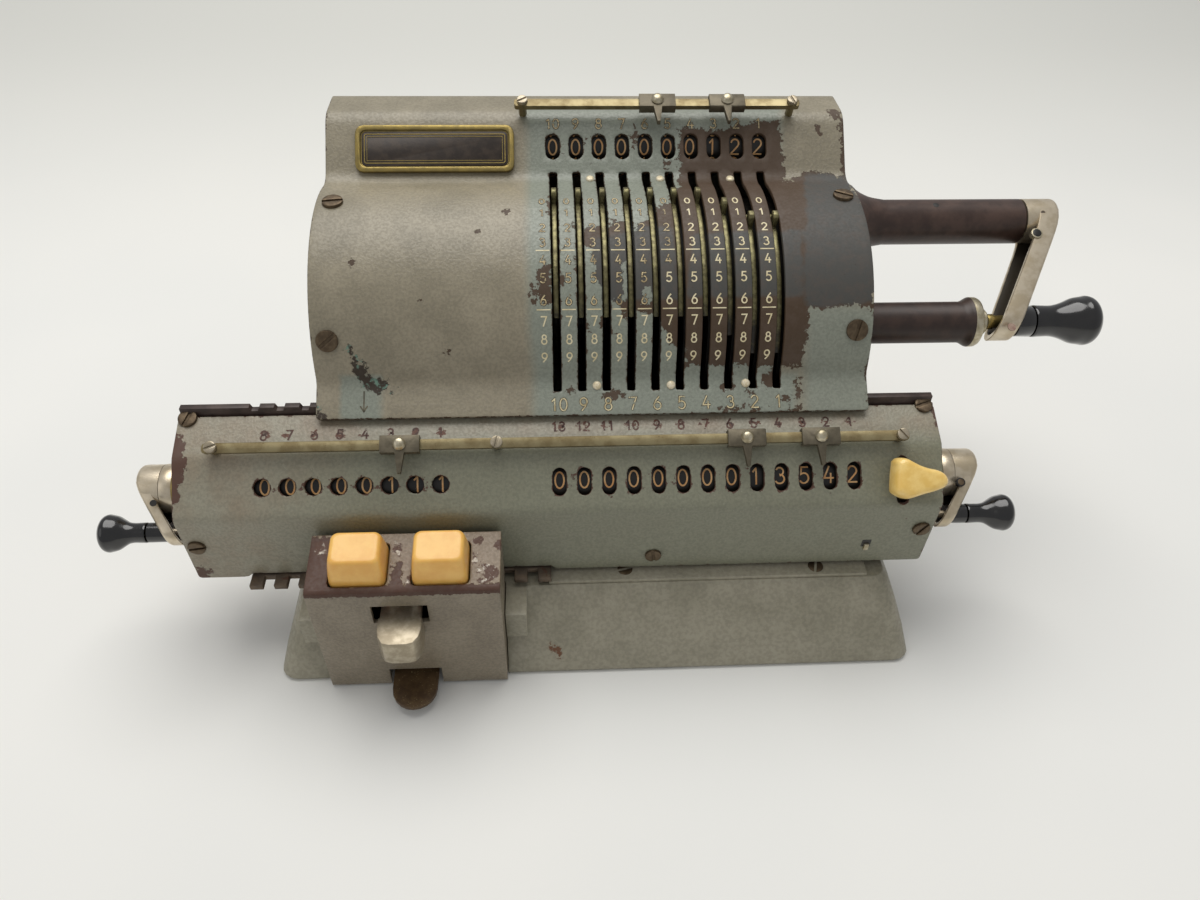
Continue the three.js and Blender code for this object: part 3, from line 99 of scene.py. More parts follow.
def spots(circles, px, py):
    """Signed distance to a union of ellipses (x, y, half width, half height), positive inside."""
    best = np.full(px.shape, -99.0)
    for x, y, a, b in circles:
        reach = np.hypot((px - x) / a, (py - y) / b)
        best = np.maximum(best, (1 - reach) * min(a, b))
    return best


# Meshes

# The scene's own materials by name; the frame has some with the same names
looks = {}


def link(name, mesh, material, body, replaces=(), smooth=40):
    """A mesh as a piece that rides a body, with the material of that name; edges past the smooth angle
    stay sharp."""
    bm = bmesh.new()
    bm.from_mesh(mesh)
    bmesh.ops.recalc_face_normals(bm, faces=bm.faces)
    bm.to_mesh(mesh)
    bm.free()
    mesh.shade_smooth()
    mesh.set_sharp_from_angle(angle=math.radians(smooth))
    mesh.materials.clear()
    mesh.materials.append(looks[material])
    obj = bpy.data.objects.new(name, mesh)
    bpy.context.scene.collection.objects.link(obj)
    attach(obj, body)
    if replaces:
        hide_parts(*replaces)
    return obj


def mesh_of(name, vertices, faces):
    """A mesh of vertices in mm and faces of any number of corners."""
    mesh = bpy.data.meshes.new(name)
    mesh.from_pydata((np.asarray(vertices, float) * MM).tolist(), [], [list(map(int, f)) for f in faces])
    mesh.validate()
    return mesh


def give(mesh, **values):
    """Point attributes that the materials read."""
    for key, value in values.items():
        attribute = mesh.attributes.new(key, "FLOAT", "POINT")
        attribute.data.foreach_set("value", np.asarray(value, np.float32))


def coordinates(mesh):
    """The mesh's vertices in mm."""
    flat = np.empty(len(mesh.vertices) * 3, np.float32)
    mesh.vertices.foreach_get("co", flat)
    return flat.reshape(-1, 3) / MM


def ring_faces(count, closed, first, second):
    """Quads between two rings of equally many points that start at vertex numbers first and second."""
    i = np.arange(count if closed else count - 1)
    j = (i + 1) % count
    return np.column_stack([first + i, first + j, second + j, second + i]).tolist()


def stack_faces(layers, count, closed=True):
    """Quads between each ring of a stack and the next."""
    faces = []
    for k in range(layers - 1):
        faces += ring_faces(count, closed, k * count, (k + 1) * count)
    return faces


def end_faces(layers, count):
    """The two flat faces that close a stack of rings."""
    return [list(range(count))[::-1], list(range((layers - 1) * count, layers * count))]


def lathe(profile, origin, axis=(1, 0, 0), segments=56, hollow=False):
    """(vertices, faces) of profile points (along, radius) turned about an axis, closed by flat ends, or by
    its bore if hollow: origin + along * axis + radius * (cos a * side + sin a * other)."""
    axis = np.asarray(axis, float) / np.linalg.norm(axis)
    side = np.cross(axis, [0.0, 0.0, 1.0] if abs(axis[2]) < 0.9 else [1.0, 0.0, 0.0])
    side /= np.linalg.norm(side)
    other = np.cross(axis, side)
    along, radius = np.asarray(profile, float).T[:, :, None, None]
    turn = np.linspace(0, 2 * np.pi, segments, endpoint=False)[None, :, None]
    vertices = np.asarray(origin) + axis * along + radius * (np.cos(turn) * side + np.sin(turn) * other)
    layers = len(profile)
    faces = stack_faces(layers, segments)
    if hollow:
        faces += ring_faces(segments, True, (layers - 1) * segments, 0)
    else:
        faces += end_faces(layers, segments)
    return vertices.reshape(-1, 3), faces


def curve_through(points, count=8):
    """Catmull-Rom curve through points: between p1 and p2, 0.5 (2 p1 + (p2 - p0) u
    + (2 p0 - 5 p1 + 4 p2 - p3) u^2 + (3 p1 - p0 - 3 p2 + p3) u^3)."""
    p = np.asarray(points, float)
    p = np.vstack([2 * p[0] - p[1], p, 2 * p[-1] - p[-2]])
    p0, p1, p2, p3 = (p[k:len(p) - 3 + k, None] for k in range(4))
    u = np.linspace(0, 1, count, endpoint=False)[:, None]
    curve = 0.5 * (2 * p1 + (p2 - p0) * u + (2 * p0 - 5 * p1 + 4 * p2 - p3) * u * u
                   + (3 * p1 - p0 - 3 * p2 + p3) * u ** 3)
    return np.vstack([curve.reshape(-1, p.shape[1]), p[-2]])


def joined(parts):
    """Several (vertices, faces) as one."""
    vertices, faces, base = [], [], 0
    for v, f in parts:
        vertices.append(v)
        faces += [[i + base for i in face] for face in f]
        base += len(v)
    return np.vstack(vertices), faces


def cut_up(bm, cells):
    """Cuts a mesh by planes across each axis that has a cell size, so that painted values have points."""
    bmesh.ops.triangulate(bm, faces=[f for f in bm.faces if len(f.verts) > 4])
    points = np.array([v.co for v in bm.verts])
    for axis, cell in enumerate(cells):
        if not cell:
            continue
        low, high = points[:, axis].min(), points[:, axis].max()
        normal = Vector([float(axis == k) for k in range(3)])
        for place in np.arange(low + cell * MM, high - 0.2 * MM, cell * MM):
            everything = bm.verts[:] + bm.edges[:] + bm.faces[:]
            bmesh.ops.bisect_plane(bm, geom=everything, plane_co=normal * float(place), plane_no=normal,
                                   dist=1e-6)


def refined(node, material, bevel=0.25, cells=None, paint=None, smooth=40, segments=2):
    """A CAD solid copied to a new piece: flat faces joined, sharp edges rounded, and cut into cells where
    paint needs points."""
    bm = bmesh.new()
    bm.from_mesh(nodes[node].data)
    bmesh.ops.remove_doubles(bm, verts=bm.verts, dist=2e-6)
    bmesh.ops.dissolve_limit(bm, angle_limit=math.radians(0.6), verts=bm.verts, edges=bm.edges)
    if bevel:
        folds = [e for e in bm.edges if len(e.link_faces) == 2]
        sharp = [e for e in folds if e.calc_face_angle(0) > math.radians(32)]
        made = bmesh.ops.bevel(bm, geom=sharp, offset=bevel * MM, segments=segments, profile=0.5,
                               affect="EDGES", clamp_overlap=True)
        layer = bm.faces.layers.float.new("edge")
        for face in made["faces"]:
            if face.is_valid:
                face[layer] = 1.0
    if cells:
        cut_up(bm, cells)
    mesh = bpy.data.meshes.new(node + "_form")
    bm.to_mesh(mesh)
    bm.free()
    if paint:
        give(mesh, **paint(coordinates(mesh)))
    return link(node + "_form", mesh, material, body_of[node], [node], smooth)


def seek(place, px, py, first, second, grid=161, tiny=0.02):
    """The two coordinates at which a surface shows at a pixel of the photograph: the nearest match on a
    grid over the ranges first and second, the one in front where several match, then Newton steps."""
    us, vs = np.meshgrid(np.linspace(*first, grid), np.linspace(*second, grid), indexing="ij")
    points = place(us, vs)
    x, y = photo(points)
    depth = (points - CAMERA_AT) @ FORWARD
    miss = np.hypot(x - px, y - py)
    i, j = np.unravel_index(np.argmin(np.where(miss < miss.min() + 6, depth, np.inf)), miss.shape)
    u, v = us[i, j], vs[i, j]
    for _ in range(8):
        x, y = photo(place(np.array([u, u + tiny, u]), np.array([v, v, v + tiny])))
        slopes = np.array([[x[1] - x[0], x[2] - x[0]], [y[1] - y[0], y[2] - y[0]]]) / tiny
        du, dv = np.linalg.lstsq(slopes, [px - x[0], py - y[0]], rcond=None)[0]
        u, v = u + float(np.clip(du, -2, 2)), v + float(np.clip(dv, -2, 2))
    return u, v


def spread(*values):
    """Numbers and arrays as float arrays of one shape."""
    return np.broadcast_arrays(*(np.asarray(value, float) for value in values))


# Sheets that follow a path across X

def lengths(path):
    """Length along a path at each of its points."""
    return np.concatenate([[0], np.cumsum(np.hypot(*np.diff(path, axis=0).T))])


def smooth_path(points, sigma, step=0.5):
    """A path resampled evenly and rounded at its corners by a Gaussian of that width in mm."""
    p = np.asarray(points, float)
    along = lengths(p)
    count = max(int(along[-1] / step), 8)
    even = np.linspace(0, along[-1], count + 1)
    q = np.column_stack([np.interp(even, along, p[:, k]) for k in range(2)])
    pad = int(3 * sigma / step) + 1
    head = 2 * q[0] - q[pad:0:-1]
    tail = 2 * q[-1] - q[-2:-pad - 2:-1]
    full = np.vstack([head, q, tail])
    kernel = np.exp(-0.5 * (np.arange(-pad, pad + 1) * step / sigma) ** 2)
    kernel /= kernel.sum()
    return np.column_stack([np.convolve(full[:, k], kernel, "valid") for k in range(2)])


class Strip:
    """A surface along X over a path of (y, z): t is the length along the path, out the height off its
    left-hand side, so a place is path(t) + out * normal(t)."""

    def __init__(self, points, sigma):
        self.path = smooth_path(points, sigma)
        self.t = lengths(self.path)
        d = np.gradient(self.path, self.t, axis=0)
        d /= np.linalg.norm(d, axis=1)[:, None]
        self.normal = np.column_stack([-d[:, 1], d[:, 0]])
        self.length = self.t[-1]

    def at(self, x, t, out=0.0):
        x, t, out = spread(x, t, out)
        y, z, ny, nz = (np.interp(t, self.t, column) for column in (*self.path.T, *self.normal.T))
        return np.stack([x, y + out * ny, z + out * nz], -1)

    def pick(self, px, py):
        """(x, t) of the point that the photograph shows at a pixel."""
        return seek(self.at, px, py, (-130, 110), (0, self.length))

    def t_of(self, point):
        """Length along the path to its place nearest a point (y, z)."""
        return float(self.t[np.argmin(np.hypot(*(self.path - np.asarray(point)).T))])

    def frame_at(self, px, py):
        """Place, up-the-path and outward directions where the photograph shows the surface at a pixel."""
        x, t = self.pick(px, py)
        t = min(max(t, 0.3), self.length - 0.3)
        place = self.at(x, t)
        up = self.at(x, t + 0.25) - self.at(x, t - 0.25)
        out = self.at(x, t, 1.0) - place
        return place, up / np.linalg.norm(up), out / np.linalg.norm(out)


def loop_of(cx, ct, width, height, corner, grow=0.0, steps=5, every=1.5):
    """A rounded rectangle in (x, t), grown outwards: centre + corner's centre + radius * (cos a, sin a),
    and its sides cut where longer than every. The number of its points doesn't depend on grow."""
    quarters = np.repeat([(1, -1), (1, 1), (-1, 1), (-1, -1)], steps + 1, axis=0)
    angles = np.radians(np.add.outer([-90, 0, 90, 180], 90 * np.arange(steps + 1) / steps).ravel())

    def points(g):
        half = np.array([width / 2 + g, height / 2 + g])
        r = max(min(corner + g, *(half - 0.01)), 0.02)
        return (cx, ct) + quarters * (half - r) + r * np.column_stack([np.cos(angles), np.sin(angles)])

    plain, grown = points(0.0), points(grow)
    side = np.hypot(*(np.roll(plain, -1, axis=0) - plain).T)
    cuts = np.maximum(np.ceil(side / every), 1).astype(int)
    share = np.concatenate([np.arange(n) / n for n in cuts])[:, None]
    run = np.roll(grown, -1, axis=0) - grown
    return np.repeat(grown, cuts, axis=0) + np.repeat(run, cuts, axis=0) * share


def reach_of(x, t, hole):
    """Signed distance from a rounded rectangle (cx, ct, width, height, corner), negative inside."""
    cx, ct, width, height, corner = hole
    qx = np.abs(x - cx) - width / 2 + corner
    qt = np.abs(t - ct) - height / 2 + corner
    return np.hypot(np.maximum(qx, 0), np.maximum(qt, 0)) + np.minimum(np.maximum(qx, qt), 0) - corner


# Pressed sheets, in mm: thickness, corner radius, size of a cell, rounding of the edges
SHEET = 1.4
SHEET_CORNER = 1.2
SHEET_CELL = 1.6
ROUNDING = 0.35


def on_sheet(x, t, border, holes, from_border, from_holes):
    """Whether places lie farther than these distances inside the border and outside every hole."""
    keep = reach_of(x, t, border) < -from_border
    for hole in holes:
        keep &= reach_of(x, t, hole) > from_holes
    return keep


def sheet_field(x0, x1, length, border, holes, loops):
    """Flat points and triangles of a sheet between its border and its holes, by Delaunay's rule."""
    flat, edges = [], []
    for loop in loops:
        i = np.arange(len(loop))
        edges += (len(flat) + np.column_stack([i, (i + 1) % len(loop)])).tolist()
        flat += loop.tolist()
    cell = SHEET_CELL
    across, up = np.arange(x0 + cell, x1 - cell / 2, cell), np.arange(cell, length - cell / 2, cell)
    gx, gt = (grid.ravel() for grid in np.meshgrid(across, up, indexing="ij"))
    gx = gx + 0.13 * cell * np.sin(gt * 9.7)
    keep = on_sheet(gx, gt, border, holes, ROUNDING + cell * 0.55, ROUNDING + cell * 0.45)
    flat += np.column_stack([gx, gt])[keep].tolist()
    points, _, triangles, *_ = delaunay_2d_cdt([Vector(p) for p in flat], edges, [], 0, 1e-5)
    points = np.array([tuple(p) for p in points])
    triangles = np.array([t for t in triangles if len(t) == 3])
    middle = points[triangles].mean(1)
    return points, triangles[on_sheet(*middle.T, border, holes, ROUNDING * 0.9, ROUNDING * 0.4)]


def pressed_sheet(node, strip, x0, x1, holes, material, paint, warp=None):
    """A sheet with holes and rounded edges: a triangulated field, its underside, and edge rings that
    turn by a quarter circle, at inset r (1 - sin a) and depth r (1 - cos a)."""
    border = ((x0 + x1) / 2, strip.length / 2, x1 - x0, strip.length, SHEET_CORNER)
    shapes = [(border, -1, 3)] + [(hole, 1, 5) for hole in holes]
    loops = [loop_of(*shape, grow=sign * ROUNDING, steps=steps, every=SHEET_CELL)
             for shape, sign, steps in shapes]
    points, triangles = sheet_field(x0, x1, strip.length, border, holes, loops)
    count = len(points)
    field = [points, points]
    depth = [np.zeros(count), np.full(count, SHEET)]
    faces = triangles.tolist() + (triangles[:, ::-1] + count).tolist()
    base, start = 2 * count, 0
    angles = np.radians([25, 50, 70, 90])
    turn = list(zip(ROUNDING * (1 - np.sin(angles)), ROUNDING * (1 - np.cos(angles)))) + [(0.0, SHEET - 0.15)]
    for (shape, sign, steps), loop in zip(shapes, loops):
        size = len(loop)
        first = start
        for inset, down in turn:
            field.append(loop_of(*shape, grow=sign * inset, steps=steps, every=SHEET_CELL))
            depth.append(np.full(size, down))
            faces += ring_faces(size, True, first, base)
            first = base
            base += size
        faces += ring_faces(size, True, first, count + start)
        start += size
    x, t = np.vstack(field).T
    vertices = strip.at(x, warp(x, t) if warp else t, -np.concatenate(depth))
    mesh = mesh_of(node + "_form", vertices, faces)
    edge = np.minimum.reduce([-reach_of(x, t, border)] + [reach_of(x, t, hole) for hole in holes])
    give(mesh, **paint(vertices, x, t, np.maximum(edge, 0)))
    return link(node + "_form", mesh, material, body_of[node], [node], smooth=50)


# Figures: each is a few strokes in a box 0.62 wide and 1 high

def bow(cx, cy, rx, ry, start, end, count=12):
    """Part of an ellipse: centre + (rx cos a, ry sin a), between two angles in degrees."""
    a = np.radians(np.linspace(start, end, count))
    return np.column_stack([cx + rx * np.cos(a), cy + ry * np.sin(a)]).tolist()


FIGURES = {
    "0": [bow(0.31, 0.5, 0.26, 0.47, 90, 450, 22)],
    "1": [[(0.14, 0.76), (0.33, 0.97), (0.33, 0.03)]],
    "2": [bow(0.31, 0.71, 0.25, 0.26, 165, -38, 11) + [(0.05, 0.03), (0.58, 0.03)]],
    "3": [bow(0.29, 0.74, 0.22, 0.23, 150, -78, 10) + bow(0.29, 0.29, 0.27, 0.26, 82, -150, 12)],
    "4": [[(0.36, 0.98), (0.05, 0.3), (0.6, 0.3)], [(0.45, 0.56), (0.45, 0.02)]],
    "5": [[(0.53, 0.97), (0.15, 0.97), (0.11, 0.56)] + bow(0.29, 0.32, 0.27, 0.3, 118, -145, 12)],
    "6": [[(0.44, 0.98), (0.2, 0.7)] + bow(0.31, 0.3, 0.26, 0.29, 155, 515, 20)],
    "7": [[(0.04, 0.97), (0.58, 0.97), (0.25, 0.02)]],
    "8": [bow(0.31, 0.75, 0.2, 0.22, -90, 270, 16), bow(0.31, 0.28, 0.26, 0.27, 90, 450, 18)],
    "9": [[(0.18, 0.02), (0.42, 0.3)] + bow(0.31, 0.7, 0.26, 0.29, -25, 335, 20)],
}
FIGURE_MIDDLE = (0.31, 0.5)
FIGURE_STEP = 0.68


def stroke(points, width):
    """Left and right sides of a line of that width through flat points, mitred, with its ends run on by
    a third of the width: p + n and p - n, with n across the middle of the two directions at p."""
    p = np.asarray(points, float)
    closed = np.hypot(*(p[0] - p[-1])) < 1e-6
    if not closed:
        for end, near in ((0, 1), (-1, -2)):
            d = p[end] - p[near]
            p[end] = p[end] + d / np.hypot(*d) * width * 0.33
    d = np.diff(p, axis=0)
    d /= np.hypot(d[:, 0], d[:, 1])[:, None]
    before = np.vstack([d[-1:] if closed else d[:1], d])
    after = np.vstack([d, d[:1] if closed else d[-1:]])
    n = np.column_stack([-(before + after)[:, 1], (before + after)[:, 0]])
    share = width / np.maximum(1 + (before * after).sum(1), 0.5)
    n *= (share / 2)[:, None]
    return p + n, p - n


def dense(points, step=0.45):
    """A line cut so that no part of it is longer than step."""
    cuts = []
    for a, b in zip(points, points[1:]):
        cuts.append(np.linspace(a, b, max(1, math.ceil(np.hypot(*(b - a)) / step)), endpoint=False))
    return np.vstack(cuts + [points[-1:]])


def band(left, right, place, lift):
    """A raised strip between two lines in (x, t)."""
    rows = ((left, -0.05), (left, lift), (right, lift), (right, -0.05))
    faces = stack_faces(4, len(left), closed=False)
    return np.vstack([place(*line.T, out) for line, out in rows]), [f[::-1] for f in faces]


def drawn(lines, width, place, lift=0.05):
    """Lines in (x, t) as raised strips of one width."""
    return [band(*stroke(line, width), place, lift) for line in lines]


def lettering(texts, place, height, width, lift):
    """Strokes for (text, x, t) laid on a surface by place(x, t, out): a raised face and its skirt."""
    lines = []
    for text, cx, ct in texts:
        for index, figure in enumerate(text):
            shift = cx + (index - (len(text) - 1) / 2) * height * FIGURE_STEP
            for line in FIGURES[figure]:
                lines.append(dense((np.array(line) - FIGURE_MIDDLE) * height + (shift, ct)))
    return joined(drawn(lines, width, place, lift))


# Materials

def rgb(code):
    """Linear colour of a six-figure sRGB code."""
    parts = [int(code[i:i + 2], 16) / 255 for i in (0, 2, 4)]
    return tuple(c / 12.92 if c <= 0.04045 else ((c + 0.055) / 1.055) ** 2.4 for c in parts) + (1.0,)


class Graph:
    """Short names for the nodes of one tree."""

    def __init__(self, tree):
        self.tree = tree

    def send(self, value, socket):
        """Gives a socket a link from another, or a number or colour of its own."""
        if isinstance(value, bpy.types.NodeSocket):
            self.tree.links.new(value, socket)
        else:
            socket.default_value = value

    def add(self, kind, inputs=None, **settings):
        node = self.tree.nodes.new(kind)
        for key, value in settings.items():
            setattr(node, key, value)
        for key, value in (inputs or {}).items():
            self.send(value, node.inputs[key])
        return node

    def math(self, operation, a, b, clamp=False):
        return self.add("ShaderNodeMath", {0: a, 1: b}, operation=operation, use_clamp=clamp).outputs[0]

    def plus(self, a, b, clamp=False):
        return self.math("ADD", a, b, clamp)

    def minus(self, a, b):
        return self.math("SUBTRACT", a, b)

    def times(self, a, b):
        return self.math("MULTIPLY", a, b)

    def most(self, a, b):
        return self.math("MAXIMUM", a, b)

    def swung(self, value, noise, share):
        """A value moved up and down by a share of a noise about its middle."""
        return self.plus(value, self.times(self.minus(noise, 0.5), share))

    def noise(self, place, millimetres, detail=3.0, roughness=0.55, distortion=0.0):
        """Noise whose features are about that many millimetres wide."""
        fixed = isinstance(millimetres, float)
        scale = 1 / millimetres if fixed else self.math("DIVIDE", 1.0, millimetres)
        inputs = {"Vector": place, "Scale": scale, "Detail": detail, "Roughness": roughness,
                  "Distortion": distortion}
        return self.add("ShaderNodeTexNoise", inputs).outputs[0]

    def ramp(self, value, low, high, to_low=0.0, to_high=1.0):
        inputs = {"Value": value, "From Min": low, "From Max": high, "To Min": to_low, "To Max": to_high}
        return self.add("ShaderNodeMapRange", inputs, interpolation_type="SMOOTHSTEP").outputs[0]

    def mix(self, factor, a, b):
        return self.add("ShaderNodeMix", {0: factor, 6: a, 7: b}, data_type="RGBA").outputs[2]

    def attribute(self, name):
        return self.add("ShaderNodeAttribute", attribute_name=name).outputs["Fac"]

    def millimetres(self):
        coordinate = self.add("ShaderNodeTexCoord").outputs["Object"]
        scale = {0: coordinate, 1: (1000.0, 1000.0, 1000.0)}
        return self.add("ShaderNodeVectorMath", scale, operation="MULTIPLY").outputs[0]


def group_of(name, inputs, outputs):
    """A node group: its inputs with their first values, and its outputs, a colour or a number each."""
    tree = bpy.data.node_groups.new(name, "ShaderNodeTree")
    for key, value in inputs.items():
        kind = "NodeSocketColor" if isinstance(value, tuple) else "NodeSocketFloat"
        tree.interface.new_socket(key, in_out="INPUT", socket_type=kind).default_value = value
    for key in outputs:
        kind = "NodeSocketColor" if key == "Color" else "NodeSocketFloat"
        tree.interface.new_socket(key, in_out="OUTPUT", socket_type=kind)
    graph = Graph(tree)
    return tree, graph, graph.add("NodeGroupInput").outputs, graph.add("NodeGroupOutput").inputs


GREY = (0.5, 0.5, 0.5, 1.0)
# The colour that painted shade darkens towards
SHADE_DARK = (0.016, 0.012, 0.008, 1.0)
DARK_HOLLOW = (0.02, 0.018, 0.015, 1.0)
PALE_DUST = (0.6, 0.57, 0.5, 1.0)
BROWN_STAIN = (0.11, 0.075, 0.055, 1.0)


def aged_surface():
    """Aged metal or paint: mottled between two colours, with specks, rust patches, worn edges and painted
    shade.
    """
    tree, g, given, out = group_of("aged_surface", {
        "Base": GREY, "Second": GREY, "Speck": GREY, "Rust": GREY, "Worn": GREY, "Mottle mm": 3.0,
        "Specks": 0.3, "Rusting": 0.2, "Edge wear": 0.0, "Smooth": 0.3, "Rough": 0.5, "Metal": 1.0,
    }, ("Color", "Roughness", "Metallic", "Height"))
    place = g.millimetres()
    cloud = g.noise(place, given["Mottle mm"], 4.0, 0.6)
    fine = g.noise(place, 0.45, 3.0, 0.6)
    patch = g.noise(place, 5.0, 8.0, 0.68, 0.4)
    mottled = g.mix(g.ramp(cloud, 0.35, 0.65), given["Base"], given["Second"])
    many = g.times(given["Specks"], 0.4)
    grain = g.plus(g.times(fine, 0.75), g.times(cloud, 0.25))
    speck = g.ramp(grain, g.minus(0.86, many), g.minus(0.93, many))
    wide = g.times(given["Rusting"], 0.5)
    blotch = g.plus(g.times(patch, 0.8), g.times(fine, 0.2))
    rusty = g.ramp(blotch, g.minus(0.82, wide), g.minus(0.9, wide))
    wear = g.plus(given["Edge wear"], g.minus(patch, 0.5))
    worn = g.ramp(g.times(g.attribute("edge"), wear), 0.12, 0.3)
    colour = g.mix(speck, mottled, given["Speck"])
    colour = g.mix(rusty, colour, given["Rust"])
    colour = g.mix(worn, colour, given["Worn"])
    # Painted shade: the soil attribute darkens the colour towards SHADE_DARK and dulls the metal, in recesses
    # where shade falls
    shade_amount = g.ramp(g.swung(g.attribute("soil"), patch, 0.8), 0.35, 0.65)
    g.send(g.mix(g.times(shade_amount, 0.95), colour, SHADE_DARK), out["Color"])
    rough = g.plus(given["Smooth"], g.times(g.minus(given["Rough"], given["Smooth"]), cloud))
    g.send(g.plus(rough, g.times(g.most(rusty, speck), 0.28), clamp=True), out["Roughness"])
    dull = g.most(g.times(shade_amount, 0.9), g.most(rusty, g.times(speck, 0.6)))
    g.send(g.times(given["Metal"], g.minus(1.0, dull)), out["Metallic"])
    relief = g.plus(g.times(cloud, 0.3), g.times(rusty, 0.35))
    g.send(g.plus(g.times(fine, 0.35), relief), out["Height"])
    return tree


def hammered_enamel():
    """Hammered enamel: painted attributes say where it has flaked, was repainted, or has corroded."""
    tree, g, given, out = group_of("hammered_enamel", {
        "Paint": GREY, "Second": GREY, "Repaint": GREY, "Primer": GREY, "Primer 2": GREY, "Rust": GREY,
        "Rust 2": GREY, "Hammer mm": 1.1, "Chips": 0.3,
    }, ("Color", "Roughness", "Height"))
    place = g.millimetres()
    cells = g.noise(place, given["Hammer mm"], 1.5, 0.5)
    ragged = g.noise(place, 1.9, 7.0, 0.68)
    broad = g.noise(place, 16.0, 4.0, 0.6)
    fine = g.noise(place, 0.35, 2.0, 0.6)
    paint = g.mix(g.ramp(broad, 0.35, 0.68), given["Paint"], given["Second"])
    paint = g.mix(g.attribute("tint"), paint, given["Repaint"])
    paint = g.mix(g.ramp(cells, 0.36, 0.66, 0.0, 0.3), paint, g.mix(0.55, paint, DARK_HOLLOW))
    paint = g.mix(g.ramp(fine, 0.6, 0.78, 0.0, 0.22), paint, PALE_DUST)
    gone = g.ramp(g.swung(g.attribute("flake"), ragged, 0.9), 0.5, 0.535)
    at_edge = g.plus(g.times(ragged, 0.9), g.times(given["Chips"], 0.12))
    chipped = g.ramp(g.plus(g.times(g.attribute("edge"), 0.42), at_edge), 0.84, 0.88)
    spotted = g.times(g.noise(place, 0.8, 4.0, 0.7), 0.9)
    specks = g.ramp(g.plus(spotted, g.times(given["Chips"], 0.1)), 0.685, 0.72)
    corroded = g.ramp(g.swung(g.attribute("rust"), ragged, 1.3), 0.5, 0.6)
    grey = g.ramp(g.swung(g.attribute("grey"), broad, 0.9), 0.4, 0.6)
    primer = g.mix(grey, given["Primer"], given["Primer 2"])
    stained = g.ramp(g.noise(place, 3.2, 5.0, 0.65), 0.42, 0.66, 0.0, 0.55)
    primer = g.mix(stained, primer, g.mix(0.5, primer, BROWN_STAIN))
    primer = g.mix(g.ramp(g.noise(place, 0.7, 3.0, 0.6), 0.64, 0.74, 0.0, 0.7), primer, given["Rust"])
    bare = g.most(gone, g.most(chipped, specks))
    decay = g.mix(g.ramp(g.noise(place, 2.6, 4.0, 0.6), 0.53, 0.66), given["Rust"], given["Rust 2"])
    g.send(g.mix(corroded, g.mix(bare, paint, primer), decay), out["Color"])
    dull = g.times(g.most(bare, corroded), 0.18)
    g.send(g.plus(g.ramp(cells, 0.3, 0.7, 0.34, 0.46), dull), out["Roughness"])
    film = g.times(g.minus(1.0, bare), g.ramp(cells, 0.3, 0.7, 0.55, 1.0))
    g.send(g.plus(film, g.times(fine, 0.12)), out["Height"])
    return tree


def new_material(name):
    """A new material: its graph and its shader."""
    material = looks[name] = bpy.data.materials.new(name)
    material.use_nodes = True
    return Graph(material.node_tree), material.node_tree.nodes["Principled BSDF"]


# Values of the shader's own, for the smooth plastics
GLOSS = {
    "black_grip": {"Coat Weight": 0.6, "Coat Roughness": 0.08},
    "cream_key": {"Coat Weight": 0.2, "Coat Roughness": 0.2, "Subsurface Weight": 0.05},
    "pale_knob": {"Coat Weight": 0.4, "Coat Roughness": 0.15},
}


def surfaced(name, group, values, bump):
    """A material whose colour, roughness and relief come from a group; bump is the relief in mm."""
    graph, shader = new_material(name)
    node = graph.add("ShaderNodeGroup", values, node_tree=group)
    graph.send(node.outputs["Color"], shader.inputs["Base Color"])
    graph.send(node.outputs["Roughness"], shader.inputs["Roughness"])
    graph.send(node.outputs["Metallic"] if values.get("Metal") else 0.0, shader.inputs["Metallic"])
    relief = {"Height": node.outputs["Height"], "Strength": 1.0, "Distance": bump * MM}
    graph.send(graph.add("ShaderNodeBump", relief).outputs["Normal"], shader.inputs["Normal"])
    for key, value in GLOSS.get(name, {}).items():
        graph.send(value, shader.inputs[key])


def rows_of(group, table, colours, numbers):
    """A material for each row of a table: its colours' codes, its numbers, and its relief in mm."""
    for name, (codes, *rest, bump) in table.items():
        values = dict(zip(colours, map(rgb, codes.split()))) | dict(zip(numbers, rest))
        surfaced(name, group, values, bump)


# Colours: Paint, Second, Repaint, Primer, Primer 2, Rust, Rust 2. Then Hammer mm, Chips, relief in mm
ENAMELS = {
    "cover_enamel": ("9A917C 8A826E 8B9083 493725 474642 352A1E 6C8A7A", 0.85, 0.3, 0.08),
    "carriage_enamel": ("9A9583 938672 81826F 563B2F 474642 603C2C 452C21", 0.85, 0.5, 0.08),
    "base_enamel": ("9F9986 908B78 8B9083 493725 474642 6B472F 57382A", 1.2, 0.15, 0.08),
    "box_enamel": ("8D826F 7F7462 816F58 4A2E20 5F4636 4F3120 CFC8BA", 0.85, 0.45, 0.08),
}

